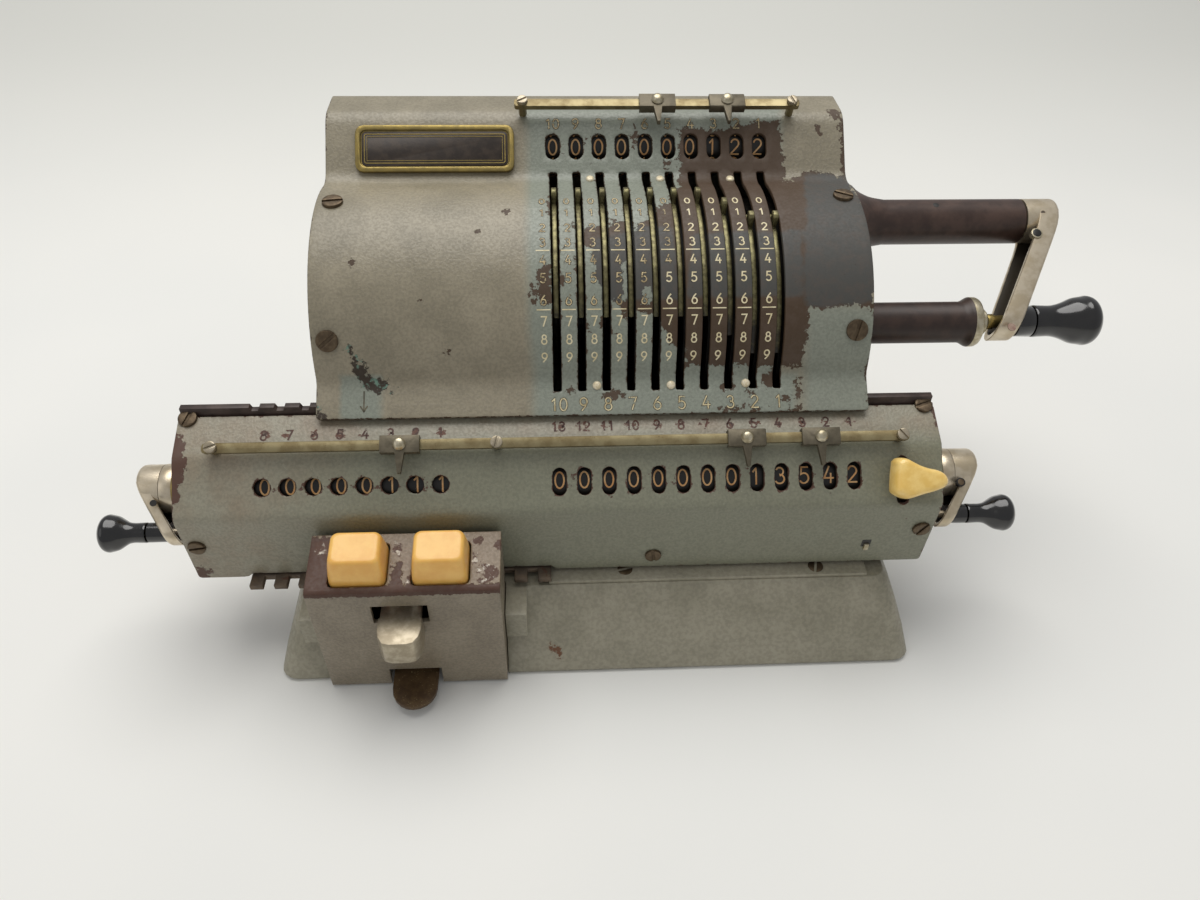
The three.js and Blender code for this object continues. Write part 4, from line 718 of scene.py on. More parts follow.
# Colours: Base, Second, Speck, Rust, Worn. Then Mottle mm, Specks, Rusting, Edge wear, Smooth, Rough,
# Metal, relief in mm
METALS = {
    "tube_paint": ("3B2B24 4E3B32 8A7A5C 7E5527 7D6A58", 6.0, 0.2, 0.25, 0.5, 0.32, 0.5, 0.1, 0.05),
    # tube_paint_shaded is tube_paint made darker: painted shade for the lower stop tube, which gets less
    # light
    "tube_paint_shaded": ("2F221C 3F2E26 7A6A4C 71491F 7D6A58", 6.0, 0.25, 0.32, 0.5, 0.32, 0.5, 0.1, 0.05),
    "frame_paint": ("3B2F2B 4F413B 7A6444 6B4426 8A7F70", 5.0, 0.25, 0.35, 0.6, 0.35, 0.6, 0.15, 0.05),
    "tarnished_nickel": ("C4BBA4 A79C80 4A4030 7F7440 D8D0BC", 2.2, 0.5, 0.3, 0.3, 0.26, 0.44, 0.8, 0.04),
    "bar_metal": ("968A68 7C6E4E 4A3420 6C5A34 C9C0A2", 5.0, 0.6, 0.42, 0.5, 0.3, 0.5, 0.75, 0.04),
    "marker_metal": ("5E5748 6E6655 2E281E 4C402C B8AD92", 2.5, 0.45, 0.3, 0.9, 0.34, 0.55, 0.6, 0.05),
    "crank_nickel": ("D6C9B2 BFB095 4E3F30 8A5A3A E2D8C4", 5.0, 0.32, 0.22, 0.3, 0.24, 0.42, 0.7, 0.05),
    "speckled_nickel": ("B5AA95 9C917C 3F3424 5F5234 CFC6B2", 3.0, 0.45, 0.25, 0.5, 0.3, 0.5, 0.75, 0.06),
    "dark_steel": ("6E6860 57514A 2A241E 5F3A22 B5AC98", 4.0, 0.4, 0.35, 0.0, 0.32, 0.5, 1.0, 0.05),
    "rusty_iron": ("5E5348 6E5F4F 2C211B 5C4030 A39B8C", 3.0, 0.45, 0.5, 0.7, 0.45, 0.65, 0.5, 0.1),
    "tongue_metal": ("4A3620 5C472C B8A67C 2E1C12 B8AA8C", 2.4, 0.62, 0.3, 0.9, 0.4, 0.6, 0.3, 0.08),
    "scuffed_metal": ("8C6F62 A08A7A 6B5040 7A5646 B5AC98", 1.2, 0.4, 0.4, 0.0, 0.4, 0.6, 0.3, 0.05),
    "tarnished_brass": ("A08C52 8A7A4C 3C3420 6F7A4A C9B878", 2.0, 0.45, 0.35, 0.6, 0.28, 0.46, 0.85, 0.05),
    "lever_metal": ("8A845C 665F42 26231A 8C8358 D2C99C", 1.6, 0.5, 0.4, 1.0, 0.3, 0.46, 0.6, 0.05),
    "black_grip": ("0D0C0C 171514 2E2A26 2B2521 B5AC98", 6.0, 0.12, 0.1, 0.0, 0.12, 0.24, 0.0, 0.02),
    "cream_key": ("F6C268 EDB258 9C7A45 C08E4C B5AC98", 7.0, 0.16, 0.16, 0.0, 0.28, 0.4, 0.0, 0.03),
    "pale_knob": ("FDD985 F2C86B 8E7740 A98A48 B5AC98", 4.0, 0.2, 0.15, 0.0, 0.25, 0.38, 0.0, 0.03),
    "drum_black": ("15130F 1E1A15 3A3226 2A221A B5AC98", 3.0, 0.25, 0.2, 0.0, 0.25, 0.45, 0.0, 0.02),
    "plate_field": ("2A211A 3B3026 6E5A35 4B3A26 A68E4E", 3.0, 0.3, 0.3, 0.9, 0.35, 0.5, 0.2, 0.05),
    "screw_metal": ("554737 6A5B47 1F1813 5E4128 A3977F", 1.6, 0.5, 0.4, 0.6, 0.35, 0.55, 0.7, 0.06),
    "stud_metal": ("EADFC6 D2C39C 7B6844 A08C5C B5AC98", 0.9, 0.45, 0.3, 0.0, 0.3, 0.5, 0.2, 0.05),
}

# Two colours, then the thresholds between which a noise turns the paint transparent
FIGURE_PAINTS = {
    "ivory_figure": ("E9DDB8", "D3C49A", 0.24, 0.32),
    "worn_figure": ("D2BE92", "A08D68", 0.36, 0.5),
    "figure_grime": ("3F392C", "5B5342", 0.42, 0.52),
    "cream_figure": ("E0D2A8", "BBAA80", 0.33, 0.45),
    "drum_figure": ("EBBE85", "DCA468", 0.12, 0.2),
    "rusty_figure": ("5C3526", "43281E", 0.36, 0.46),
    "arrow_paint": ("4A4638", "6B6450", 0.3, 0.4),
}

rows_of(hammered_enamel(), ENAMELS, ("Paint", "Second", "Repaint", "Primer", "Primer 2", "Rust", "Rust 2"),
        ("Hammer mm", "Chips"))
rows_of(aged_surface(), METALS, ("Base", "Second", "Speck", "Rust", "Worn"),
        ("Mottle mm", "Specks", "Rusting", "Edge wear", "Smooth", "Rough", "Metal"))
for name, (colour, second, low, high) in FIGURE_PAINTS.items():
    graph, shader = new_material(name)
    place = graph.millimetres()
    wear = graph.noise(place, 0.7, 4.0, 0.65)
    shade = graph.mix(graph.ramp(graph.noise(place, 2.5, 2.0), 0.35, 0.65), rgb(colour), rgb(second))
    graph.send(shade, shader.inputs["Base Color"])
    graph.send(graph.ramp(wear, 0.3, 0.7, 0.45, 0.65), shader.inputs["Roughness"])
    graph.send(graph.ramp(wear, low, high), shader.inputs["Alpha"])


# Places on the machine, in mm

def slope(y, z, degrees):
    """A flat face that rises from (y, z) away from the operator: place(x, up, out)."""
    c, s = math.cos(math.radians(degrees)), math.sin(math.radians(degrees))

    def place(x, up, out=0.0):
        x, up, out = spread(x, up, out)
        return np.stack([x, y + up * c - out * s, z + up * s + out * c], -1)
    return place


def directions(face):
    """right, up and out of a flat face."""
    return (1, 0, 0), face(0, 1) - face(0, 0), face(0, 0, 1) - face(0, 0, 0)


def drum_face(y, z, radius, degrees):
    """The outside of a drum on an axis along X: t runs round it, upwards over the window."""
    def place(x, t, out=0.0):
        x, t, out = spread(x, t, out)
        angle = math.radians(degrees) - t / radius
        return np.stack([x, y + (radius + out) * np.cos(angle), z + (radius + out) * np.sin(angle)], -1)
    return place


PITCH_X = 7.5
ROTOR = (18.0, 78.0)
COVER_X = (-85.0, 83.3)
CARRIAGE_X = (-126.5, 105.0)
UNITS_X = 55
COLUMN_X = [UNITS_X - PITCH_X * i for i in range(10)]
RESULT_X = [UNITS_X + PITCH_X * (3 - i) for i in range(13)]
COUNTER_X = [-48 - PITCH_X * i for i in range(8)]
SETTING = [2, 2, 1, 0, 0, 0, 0, 0, 0, 0]
RESULT = [int(c) for c in "0000000013542"][::-1]
COUNTER = [int(c) for c in "00000111"][::-1]
CREASE = (31.871, 118.755)
PANEL_ANGLE = 43
PANEL_TOP = 19.2
KEY_FRONT = (-77.6, 48.6)
panel = slope(*CREASE, PANEL_ANGLE)
facet = slope(-56.2, 57.5, 45)
bar_top = slope(48.437, 133.442, 21.5)
bar_carriage = slope(-41.199, 71.2105, 32.75)
key_face = slope(*KEY_FRONT, 10)

cover_path = [(-33.9646, 76.6298)] + bow(*ROTOR, 43, 43, 172.8, 74, 40)
cover_path += [tuple(panel(0, 2.1)[1:]), tuple(panel(0, PANEL_TOP)[1:])]
cover_path += bow(51.369, 125.999, 8, 8, 133, 90, 8) + bow(61.6, 128.999, 5, 5, 90, 0, 8) + [(66.6, 125.0)]
cover = Strip(cover_path, 0.9)
carriage = Strip([(-55.4, 29.6), (-56.2, 57.5), (-43.26, 70.44), (-30.1465, 75.343)], 0.7)


# Painted damage, as the photograph shows it: outlines and spots in its frame
REPAINT = [(516, 96), (527, 130), (527, 250), (529, 330), (533, 372), (533, 425), (797, 418), (798, 372),
           (778, 372), (778, 175), (783, 98)]
FLAKED = [
    [(679, 128), (679, 172), (677, 190), (670, 200), (664, 207), (656, 208), (652, 212), (644, 222),
     (634, 229), (630, 220), (610, 221), (606, 227), (600, 225), (584, 228), (583, 246), (592, 250),
     (594, 262), (590, 268), (600, 285), (604, 292), (606, 300), (618, 303), (621, 312), (640, 311),
     (655, 318), (668, 335), (672, 345), (684, 349), (684, 366), (700, 367), (730, 366), (770, 368),
     (803, 366), (811, 305), (820, 310), (845, 306), (858, 305), (872, 310), (880, 250), (866, 210),
     (845, 176), (835, 176), (822, 170), (805, 173), (795, 177), (788, 182), (785, 180), (784, 160),
     (781, 119), (760, 122), (735, 124), (718, 131), (700, 128)],
    [(820, 97), (832, 94), (836, 104), (841, 115), (836, 121), (830, 117), (825, 108), (819, 101)],
    [(815, 123), (818, 124), (823, 133), (821, 136), (816, 130)],
    [(839, 118), (848, 118), (850, 180), (842, 180)],
    [(862, 370), (868, 380), (866, 405), (872, 412), (878, 340)],
    [(318, 104), (325, 104), (326, 150), (318, 150)],
    [(538, 268), (552, 262), (554, 305), (541, 305), (537, 290)],
    [(530, 283), (536, 282), (538, 300), (533, 305), (530, 298)],
    [(576, 248), (580, 250), (580, 272), (575, 268)],
]
KEPT = [
    [(622, 262), (632, 262), (632, 300), (624, 300)],
    [(644, 287), (653, 287), (651, 303), (641, 301)],
    [(585, 252), (593, 256), (595, 270), (592, 288), (584, 284)],
]
FLAKE_SPOTS = [
    (585, 330, 5, 5), (590, 163, 2, 2), (635, 138, 4, 9), (668, 164, 5, 5), (626, 315, 5, 5),
    (615, 335, 4, 4), (588, 326, 4, 4), (550, 206, 3, 7), (576, 226, 3, 5), (561, 248, 3, 3),
    (562, 280, 4, 6), (603, 322, 4, 7), (571, 391, 6, 3), (613, 395, 11, 5), (727, 385, 8, 6),
    (750, 392, 5, 5), (770, 380, 9, 8), (798, 386, 4, 9), (789, 398, 8, 4), (740, 409, 22, 3),
    (798, 409, 7, 3), (420, 300, 3, 3), (352, 262, 3, 5), (478, 232, 3, 2), (446, 352, 3, 3),
    (505, 212, 3, 3),
]
GREY_PRIMER = [
    [(592, 238), (640, 226), (676, 226), (682, 300), (592, 300)],
    [(690, 232), (800, 232), (800, 296), (690, 296)],
    [(806, 176), (884, 176), (884, 306), (806, 306)],
]
CORRODED = [
    [(345, 345), (352, 345), (370, 375), (386, 380), (400, 392), (370, 393), (356, 380)],
    [(322, 98), (337, 98), (335, 108), (326, 110)],
    [(316, 410), (324, 408), (326, 421), (316, 421)],
]
CARRIAGE_BARE = [
    [(168, 430), (181, 434), (186, 447), (183, 453), (187, 466), (183, 480), (178, 487), (181, 497),
     (176, 508), (166, 500), (166, 440)],
    [(246, 405), (318, 405), (314, 413), (250, 413)],
    [(925, 392), (936, 392), (944, 430), (936, 425)],
    [(195, 566), (214, 570), (208, 580), (195, 580)],
]
CARRIAGE_SPOTS = [(465, 500, 3, 3), (505, 520, 4, 3), (700, 552, 5, 3), (330, 566, 6, 3), (905, 520, 4, 5),
                  (240, 470, 2, 3)]
RIGHT_PATCH = [(803, 303), (884, 303), (884, 420), (803, 420)]
ARROW_PATCH = [(341, 374), (381, 376), (381, 421), (341, 421)]
BOX_BARE = [
    [(298, 537), (333, 536), (334, 545), (331, 560), (329, 575), (335, 590), (316, 600), (296, 598)],
    [(296, 588), (512, 582), (512, 596), (296, 604)],
    [(392, 560), (402, 560), (402, 590), (390, 590)],
]
BOX_SPOTS = [(397, 550, 5, 9), (412, 580, 8, 5), (476, 560, 5, 10), (492, 572, 8, 8), (483, 580, 8, 5),
             (322, 548, 9, 8), (500, 546, 7, 6), (478, 540, 6, 6)]
BASE_SPOTS = [(552, 645, 8, 5), (559, 651, 4, 4), (605, 642, 2, 2)]
RESULT_ROW = (700, 424)
COUNTER_ROW = (350, 434)

upper_t, lower_t = carriage.pick(*RESULT_ROW)[1], carriage.pick(*COUNTER_ROW)[1]
panel_end_t = cover.t_of(panel(0, PANEL_TOP)[1:])


def stain(distance, soft):
    """0 outside an outline, 0.5 on it and 1 inside; soft is the width in pixels that it takes."""
    return np.clip(0.5 + distance / soft, 0, 1)


def outlines(shapes, px, py, circles=()):
    """Signed distance to a union of outlines and spots, positive inside."""
    best = np.maximum.reduce([inside(shape, px, py) for shape in shapes])
    return np.maximum(best, spots(circles, px, py)) if circles else best


def cover_paint(vertices, x, t, edge):
    """Where the pinwheel cover has flaked, was repainted or has corroded, with wear at its edges."""
    px, py = photo(vertices)
    front = t < panel_end_t + 6
    flake = np.where(front, stain(outlines(FLAKED, px, py, FLAKE_SPOTS), 26), 0)
    patches = (stain(inside(REPAINT, px, py), 10), stain(inside(ARROW_PATCH, px, py), 3),
               0.9 * stain(inside(RIGHT_PATCH, px, py), 16))
    return {"flake": np.minimum(flake, 1 - stain(outlines(KEPT, px, py), 20)),
            "tint": np.where(front, np.maximum.reduce(patches), 0),
            "grey": stain(outlines(GREY_PRIMER, px, py), 26),
            "rust": np.where(front, stain(outlines(CORRODED, px, py), 26), 0),
            "edge": np.exp(-edge / 0.8)}


def carriage_paint(vertices, x, t, edge):
    """Where the carriage is bare or stained, rust round its position numbers and a lower part repainted."""
    px, py = photo(vertices)
    figures_at = [(cx, upper_t) for cx in RESULT_X] + [(cx, lower_t) for cx in COUNTER_X]
    nearest = np.minimum.reduce([np.hypot((x - cx) / 3.4, (t - ct) / 2.6) for cx, ct in figures_at])
    around = np.clip(1.25 - nearest, 0, 0.8)
    return {"flake": stain(outlines(CARRIAGE_BARE, px, py), 22),
            "tint": np.clip((upper_t - t) / 8, 0, 1) * np.clip((x + 112) / 45, 0.15, 0.9),
            "grey": np.full(len(x), 0.12),
            "rust": np.maximum(0.62 * stain(spots(CARRIAGE_SPOTS, px, py), 14), 0.72 * around),
            "edge": np.exp(-edge / 0.9)}


# Covers, with their holes as (x, t, width, height, corner)
reach = np.hypot(*(cover.path - np.array(ROTOR)).T)
slot_range = cover.t[(reach < 46.1) & (cover.t < cover.t_of(CREASE) + 6)]
slot_middle, slot_length = (slot_range[0] + slot_range[-1]) / 2, slot_range[-1] - slot_range[0]
window_t = cover.t_of(panel(0, 11.4)[1:])
cover_holes = [(x, slot_middle, 2.5, slot_length, 0.5) for x in COLUMN_X]
cover_holes += [(x, window_t, 4.6, 8.4, 2.29) for x in COLUMN_X]
pressed_sheet("pinwheel_cover", cover, *COVER_X, cover_holes, "cover_enamel", cover_paint)

TRANSFER_X = 92.3
RACK_X = (-17.75 - PITCH_X * 12 - 2.1, -17.75 + 2.1)
register_t = carriage.t_of(facet(0, 9.4)[1:])
carriage_holes = [(x, register_t, 4.2, 8.4, 2.09) for x in RESULT_X]
carriage_holes += [(x, register_t, 5.2, 5.2, 2.59) for x in COUNTER_X]
carriage_holes.append((TRANSFER_X, register_t - 1.8, 3.6, 14.8, 1.79))


def over_rack(x, t):
    """The lower edge is raised by 1.7 mm over the step rack."""
    within = np.clip((x - RACK_X[0] + 1.3) / 0.9, 0, 1) * np.clip((RACK_X[1] + 1.3 - x) / 0.9, 0, 1)
    return t + 1.7 * within * np.clip(1 - t / 9, 0, 1)


pressed_sheet("carriage_cover", carriage, *CARRIAGE_X, carriage_holes, "carriage_enamel", carriage_paint,
              over_rack)


def piece(name, parts, material, body, replaces=(), smooth=40):
    """A new piece from a list of (vertices, faces)."""
    return link(name, mesh_of(name, *joined(parts)), material, body, replaces, smooth)


def figures(name, texts, place, height, width, material, body, lift=0.05):
    """Figures as a piece of their own; texts are (text, x, t)."""
    parts = lettering(texts, place, height, width, lift)
    return link(name, mesh_of(name, *parts), material, body, smooth=60)


# Figures on the pinwheel cover, beside the slots; the photograph shows their rows at these heights
SIGHT_X = 655
DIGIT_ROWS = (205, 212, 227, 241.5, 259, 277, 299, 320, 338, 356)
LINE_ROWS = (249.5, 308.5)
NUMBER_ROW, FOOT_ROW = 123.5, 403
ARROW_AT = (364, 402)
BESIDE_SLOT = 3.75


def row_t(py):
    """How far up the cover a row of the photograph lies."""
    return cover.pick(SIGHT_X, py)[1]


def is_worn(c, d):
    """Whether digit d beside column c is worn: the upper ones of the columns at the left."""
    return d < 7 and (c > 4 or c == 4 and d < 5)


digit_t = [row_t(py) for py in DIGIT_ROWS]
digit_t[0] = digit_t[1] + 0.9 * (digit_t[1] - digit_t[2])
crisp, worn = [], []
for c, x in enumerate(COLUMN_X):
    for d, t in enumerate(digit_t):
        (worn if is_worn(c, d) else crisp).append((str(d), x - BESIDE_SLOT, t))
figures("lever_figures_crisp", crisp, cover.at, 2.9, 0.4, "ivory_figure", "frame")
figures("lever_figures_worn", worn, cover.at, 2.9, 0.34, "worn_figure", "frame", 0.07)
figures("lever_figures_grime", worn, cover.at, 2.95, 0.72, "figure_grime", "frame", 0.035)
lines = [[(x - 5.7, row_t(py)), (x - 1.8, row_t(py))] for py in LINE_ROWS for x in COLUMN_X]
piece("lever_lines", drawn(lines, 0.35, cover.at), "ivory_figure", "frame")
for name, py, shift, height, material in (("top", NUMBER_ROW, 0.0, 3.4, "worn_figure"),
                                          ("foot", FOOT_ROW, 0.3, 4.0, "cream_figure")):
    texts = [(str(c + 1), x + shift, row_t(py)) for c, x in enumerate(COLUMN_X)]
    figures(f"column_numbers_{name}", texts, cover.at, height, 0.36, material, "frame", 0.07)
    figures(f"column_grime_{name}", texts, cover.at, height, 0.8, "figure_grime", "frame", 0.035)
arrow_x, arrow_t = cover.pick(*ARROW_AT)
arrow = [[(0, 3.2), (0, -3)], [(-1, -1.4), (0, -3), (1, -1.4)]]
arrow = [[(arrow_x + x, arrow_t + t) for x, t in line] for line in arrow]
piece("flange_arrow", drawn(arrow, 0.45, cover.at), "arrow_paint", "frame")

# Position numbers on the carriage
for name, places, t in (("result", RESULT_X, upper_t), ("counter", COUNTER_X, lower_t)):
    texts = [(str(i + 1), x, t) for i, x in enumerate(places)]
    figures(f"{name}_positions", texts, carriage.at, 3.2, 0.55, "rusty_figure", "carriage_body")


# Number drums: a row of drums on one shaft, figures all round, with the reading in the windows
REGISTER = (-39.5123, 54.1059)
REGISTER_RADIUS = 12
SHAFT_RADIUS = 3
DRUM_WIDTH = 6.2
DIAL_AT = (51.306, 121.1545)
DIAL_RADIUS = 9.3
DIAL_BORE = 2.3


def drum_profile(positions, radius, groove, from_x, to_x, shaft):
    """A drum at each position with rounded edges, grooves between them and the shaft at both ends."""
    half = DRUM_WIDTH / 2
    profile = [(from_x, shaft)]
    for x in sorted(positions):
        before = shaft if x == min(positions) else radius - groove
        after = shaft if x == max(positions) else radius - groove
        profile += [(x - half, before), (x - half, radius - 0.25), (x - half + 0.25, radius),
                    (x + half - 0.25, radius), (x + half, radius - 0.25), (x + half, after)]
    return profile + [(to_x, shaft)]


def drum_row(name, body, positions, reading, face, radius, height, drop=0.0, nudge=0.0):
    """The ten figures of each drum, 36 degrees apart, with the one shown at the window."""
    texts, step = [], radius * math.radians(36)
    for x, shown in zip(positions, reading):
        for d in range(10):
            texts.append((str(d), x + nudge, ((shown - d + 5) % 10 - 5) * step + drop))
    figures(name + "_figures", texts, face, height, 0.5, "drum_figure", body, 0.04)


register_face = drum_face(*REGISTER, REGISTER_RADIUS, 135)
for name, positions, ends in (("result", RESULT_X, (-28.2, 111.5)), ("counter", COUNTER_X, (-133, -33.8))):
    drums = lathe(drum_profile(positions, REGISTER_RADIUS, 1.2, *ends, SHAFT_RADIUS), (0, *REGISTER))
    piece(name + "_drums", [drums], "drum_black", name + "_dial_body", [name + "_dials"])
drum_row("result", "result_dial_body", RESULT_X, RESULT, register_face, REGISTER_RADIUS, 5.2, 0.25)
drum_row("counter", "counter_dial_body", COUNTER_X, COUNTER, register_face, REGISTER_RADIUS, 4.9, 0.0, 0.3)
dial_face = drum_face(*DIAL_AT, DIAL_RADIUS, 154)
rim = [(-3.1, DIAL_BORE), (-3.1, 9.05), (-2.85, DIAL_RADIUS), (2.85, DIAL_RADIUS), (3.1, 9.05),
       (3.1, DIAL_BORE)]
for i, x in enumerate(COLUMN_X):
    name = f"setting_dial_{i + 1}"
    drum = lathe([(x + along, radius) for along, radius in rim], (0, *DIAL_AT), hollow=True)
    piece(name + "_drum", [drum], "drum_black", name + "_body", [name])
    drum_row(name, name + "_body", [x], [SETTING[i]], dial_face, DIAL_RADIUS, 5.0)


# Small turned and cut pieces on a surface: right, up and out are its directions

def raised(outline, levels, centre, right, up, out):
    """A flat outline carried outwards through levels (inset, height), closed by flat ends:
    centre + x * right + y * up + height * out, with (x, y) drawn towards the middle by the inset."""
    outline = np.asarray(outline, float)
    middle = outline.mean(0)
    size = np.hypot(*(outline - middle).T).max()
    inset, height = np.array(levels, float).T[:, :, None, None]
    ring = middle + (outline - middle) * (1 - inset / size)
    centre, right, up, out = (np.asarray(v, float) for v in (centre, right, up, out))
    vertices = centre + ring[..., :1] * right + ring[..., 1:] * up + height * out
    layers, count = len(levels), len(outline)
    return vertices.reshape(-1, 3), stack_faces(layers, count) + end_faces(layers, count)


def circle(radius, count=40):
    """Points radius * (cos a, sin a)."""
    a = 2 * np.pi * np.arange(count) / count
    return radius * np.column_stack([np.cos(a), np.sin(a)])


def screw(name, body, centre, up, out, diameter, angle, height=0.9, material="screw_metal"):
    """A slotted head: a disc with two half-round lands on it, on either side of the slot."""
    up, out = np.asarray(up, float), np.asarray(out, float)
    right = np.cross(up, out)
    a = math.radians(angle)
    along, aside = math.cos(a) * right + math.sin(a) * up, math.cos(a) * up - math.sin(a) * right
    r, half, bevel = diameter / 2, diameter * 0.075, diameter * 0.06
    start = math.asin(half / r)
    t = np.linspace(start, math.pi - start, 22)
    land = r * np.column_stack([np.cos(t), np.sin(t)])
    disc = [(0, -0.3), (0, height * 0.35), (0.1, height * 0.38)]
    levels = [(0, -0.3), (0, height - bevel), (bevel * 0.35, height - bevel * 0.3), (bevel * 1.3, height),
              (r * 0.5, height + 0.05)]
    parts = [raised(circle(r), disc, centre, along, aside, out)]
    parts += [raised(land, levels, centre, along * sign, aside * sign, out) for sign in (1, -1)]
    return piece(name, parts, material, body, smooth=30)


# Screws as (pixel x, pixel y, diameter, angle of the slot), studs as (pixel x, pixel y)
COVER_SCREWS = [(332.5, 202.5, 6.4, 8), (327, 341, 6.6, 40), (843, 196, 6.4, 150), (857, 330, 6.6, 75)]
CARRIAGE_SCREWS = [(188, 419, 5.6, 70), (923, 403, 5.6, 20), (197, 547, 5.4, 10), (921, 528, 5.6, 60),
                   (653, 554.5, 5.2, 100)]
STUDS = [(590, 179), (660, 179), (730, 179), (597, 385.5), (671, 385), (745.5, 383)]
RAIL_SCREWS = [(625, 568.8), (815.5, 566)]
STUD_DOME = [(0, -0.2), (0, 0.15), (0.12, 0.42), (0.45, 0.62), (0.9, 0.7)]
RAIL_TOP = 28.4

for name, body, strip, places in (("cover_screw", "frame", cover, COVER_SCREWS),
                                  ("carriage_screw", "carriage_body", carriage, CARRIAGE_SCREWS)):
    for i, (px, py, diameter, angle) in enumerate(places):
        screw(f"{name}_{i + 1}", body, *strip.frame_at(px, py), diameter, angle)
for i, (px, py) in enumerate(STUDS):
    centre, up, out = cover.frame_at(px, py)
    dome = raised(circle(1.35, 28), STUD_DOME, centre, np.cross(up, out), up, out)
    piece(f"cover_stud_{i + 1}", [dome], "stud_metal", "frame")
for name, body, face, top, places, diameter, first, step, height in (
        ("top_bar_screw", "frame", bar_top, 6.4, (-21.9, 65), 3.4, 30, 80, 0.7),
        ("carriage_bar_screw", "carriage_body", bar_carriage, 5.2, (-113.7, -30.9, 91.2), 3.6, 20, 55, 0.8)):
    for i, x in enumerate(places):
        screw(f"{name}_{i + 1}", body, face(x, 0, top), *directions(face)[1:], diameter, first + step * i,
              height, "speckled_nickel")


def rail_face(x, y):
    """The level top of the ledge strip."""
    return np.stack(spread(x, y, RAIL_TOP), -1)


for i, (px, py) in enumerate(RAIL_SCREWS):
    x, y = seek(rail_face, px, py, (-100, 100), (-70, -40))
    screw(f"rail_screw_{i + 1}", "frame", (x, y, RAIL_TOP - 0.3), (0, 1, 0), (0, 0, 1), 5.0, 15 + 60 * i, 0.5)

# Markers: their caps with a turned knob
MARKER_KNOB = [(0, 1.9), (0.5, 2.0), (0.9, 1.75), (1.5, 1.45), (1.75, 1.0), (1.85, 0.4)]
for group, face, top, places in (("register_marker", bar_top, 6.6, (21.25, 43.75)),
                                 ("carriage_marker", bar_carriage, 5.4, (-59.25, 43.75, 66.25))):
    for i, x in enumerate(places):
        node = f"{group}_{i + 1}"
        refined(node, "marker_metal", bevel=0.3)
        knob = lathe(MARKER_KNOB, face(x, 0, top), directions(face)[2], 28)
        piece(node + "_knob", [knob], "tarnished_nickel", node + "_body")
refined("register_marker_bar", "bar_metal", bevel=0.4)
refined("carriage_marker_bar", "bar_metal", bevel=0.4)

# Nameplate: a pressed rim round a bare dark field
PLATE_LEFT = -75.3
PLATE_FIELD = (25.2, 7.6, 46.4, 11.2, 1.6)
PLATE_THICKNESS = 3
plate_turn = math.radians(PANEL_ANGLE)
plate = slope(CREASE[0] + PLATE_THICKNESS * math.cos(plate_turn),
              CREASE[1] + PLATE_THICKNESS * math.sin(plate_turn), PANEL_ANGLE)
refined("nameplate", "tarnished_brass", bevel=0.35, segments=3)
field = loop_of(*PLATE_FIELD, steps=6, every=60)
field = raised(field, [(0, 0.9), (0, 1.16), (0.15, 1.22)], plate(PLATE_LEFT, 0), *directions(plate))
piece("nameplate_field", [field], "plate_field", "frame")
rim_lines = []
for grow, width in ((-0.9, 0.28), (-1.7, 0.16)):
    line = loop_of(*PLATE_FIELD, grow=grow, steps=6, every=60)
    rim_lines += drawn([np.vstack([line, line[:1]])], width,
                       lambda x, t, out: plate(PLATE_LEFT + x, t, 1.22 + out), 0.1)
piece("nameplate_lines", rim_lines, "tarnished_brass", "frame")


# Castings, rails and box

def base_paint(points):
    """Rust spots on the front of the base."""
    px, py = photo(points)
    front = points[:, 1] < -50
    zero = np.zeros(len(points))
    rust = np.where(front, stain(spots(BASE_SPOTS, px, py), 14), 0)
    return {"flake": zero, "tint": zero, "grey": zero, "rust": rust}


def box_paint(points):
    """The key box's top, bare in places and along its front edge."""
    px, py = photo(points)
    y, z = points[:, 1] - KEY_FRONT[0], points[:, 2]
    top = z > 47.2 + y * 0.17
    flake = np.where(top, stain(outlines(BOX_BARE, px, py), 20), 0)
    roll = np.clip(1 - np.hypot(y, z - 48.4) / 3.6, 0, 1)
    return {"flake": np.maximum(flake, roll * 0.85), "tint": top.astype(float), "grey": np.zeros(len(points)),
            "rust": np.where(top, stain(spots(BOX_SPOTS, px, py), 8), 0)}


refined("base_casting", "base_enamel", bevel=1.3, segments=4, cells=(3.0, 3.0, None), paint=base_paint)
refined("rear_cover", "cover_enamel", bevel=0.4)
refined("carriage_frame", "frame_paint", bevel=0.35)
refined("carriage_guide_rail", "base_enamel", bevel=0.35)
refined("step_rack", "rusty_iron", bevel=0.3)
refined("key_box", "box_enamel", bevel=0.6, cells=(2.4, 2.4, 2.4), paint=box_paint)
refined("release_thumb_piece", "speckled_nickel", bevel=0.9, segments=4)
refined("release_tongue", "tongue_metal", bevel=0.5, segments=3)

# Keys: rounded rings that close to a dished top, as (height, width, depth, shift back, corner)
KEY_RINGS = [(-5, 16.2, 13.6, 0, 1.7), (0, 16.2, 13.6, 0, 1.7), (2.5, 15.95, 13.1, 0.2, 1.9),
             (5.5, 15.3, 12, 0.6, 2.1), (6.9, 14.9, 11.3, 0.85, 2.2), (7.7, 14.5, 10.9, 0.9, 2.2),
             (8.25, 13.8, 10.2, 0.9, 2.1), (8.52, 12.9, 9.3, 0.9, 1.9), (8.58, 11.8, 8.2, 0.9, 1.7),
             (8.5, 9.5, 6, 0.9, 1.4), (8.42, 6.5, 3.4, 0.9, 1.0), (8.4, 3, 1, 0.9, 0.4)]
KEY_UP = 9.4


def key_cap(x):
    """Rounded rectangles on the key's face, one above the other: each ring is a loop at its height."""
    rings = []
    for out, width, depth, back, corner in KEY_RINGS:
        ring = loop_of(x, KEY_UP + back, width, depth, corner, steps=7, every=100)
        rings.append(key_face(*ring.T, out))
    layers, count = len(rings), len(rings[0])
    return np.vstack(rings), stack_faces(layers, count) + end_faces(layers, count)


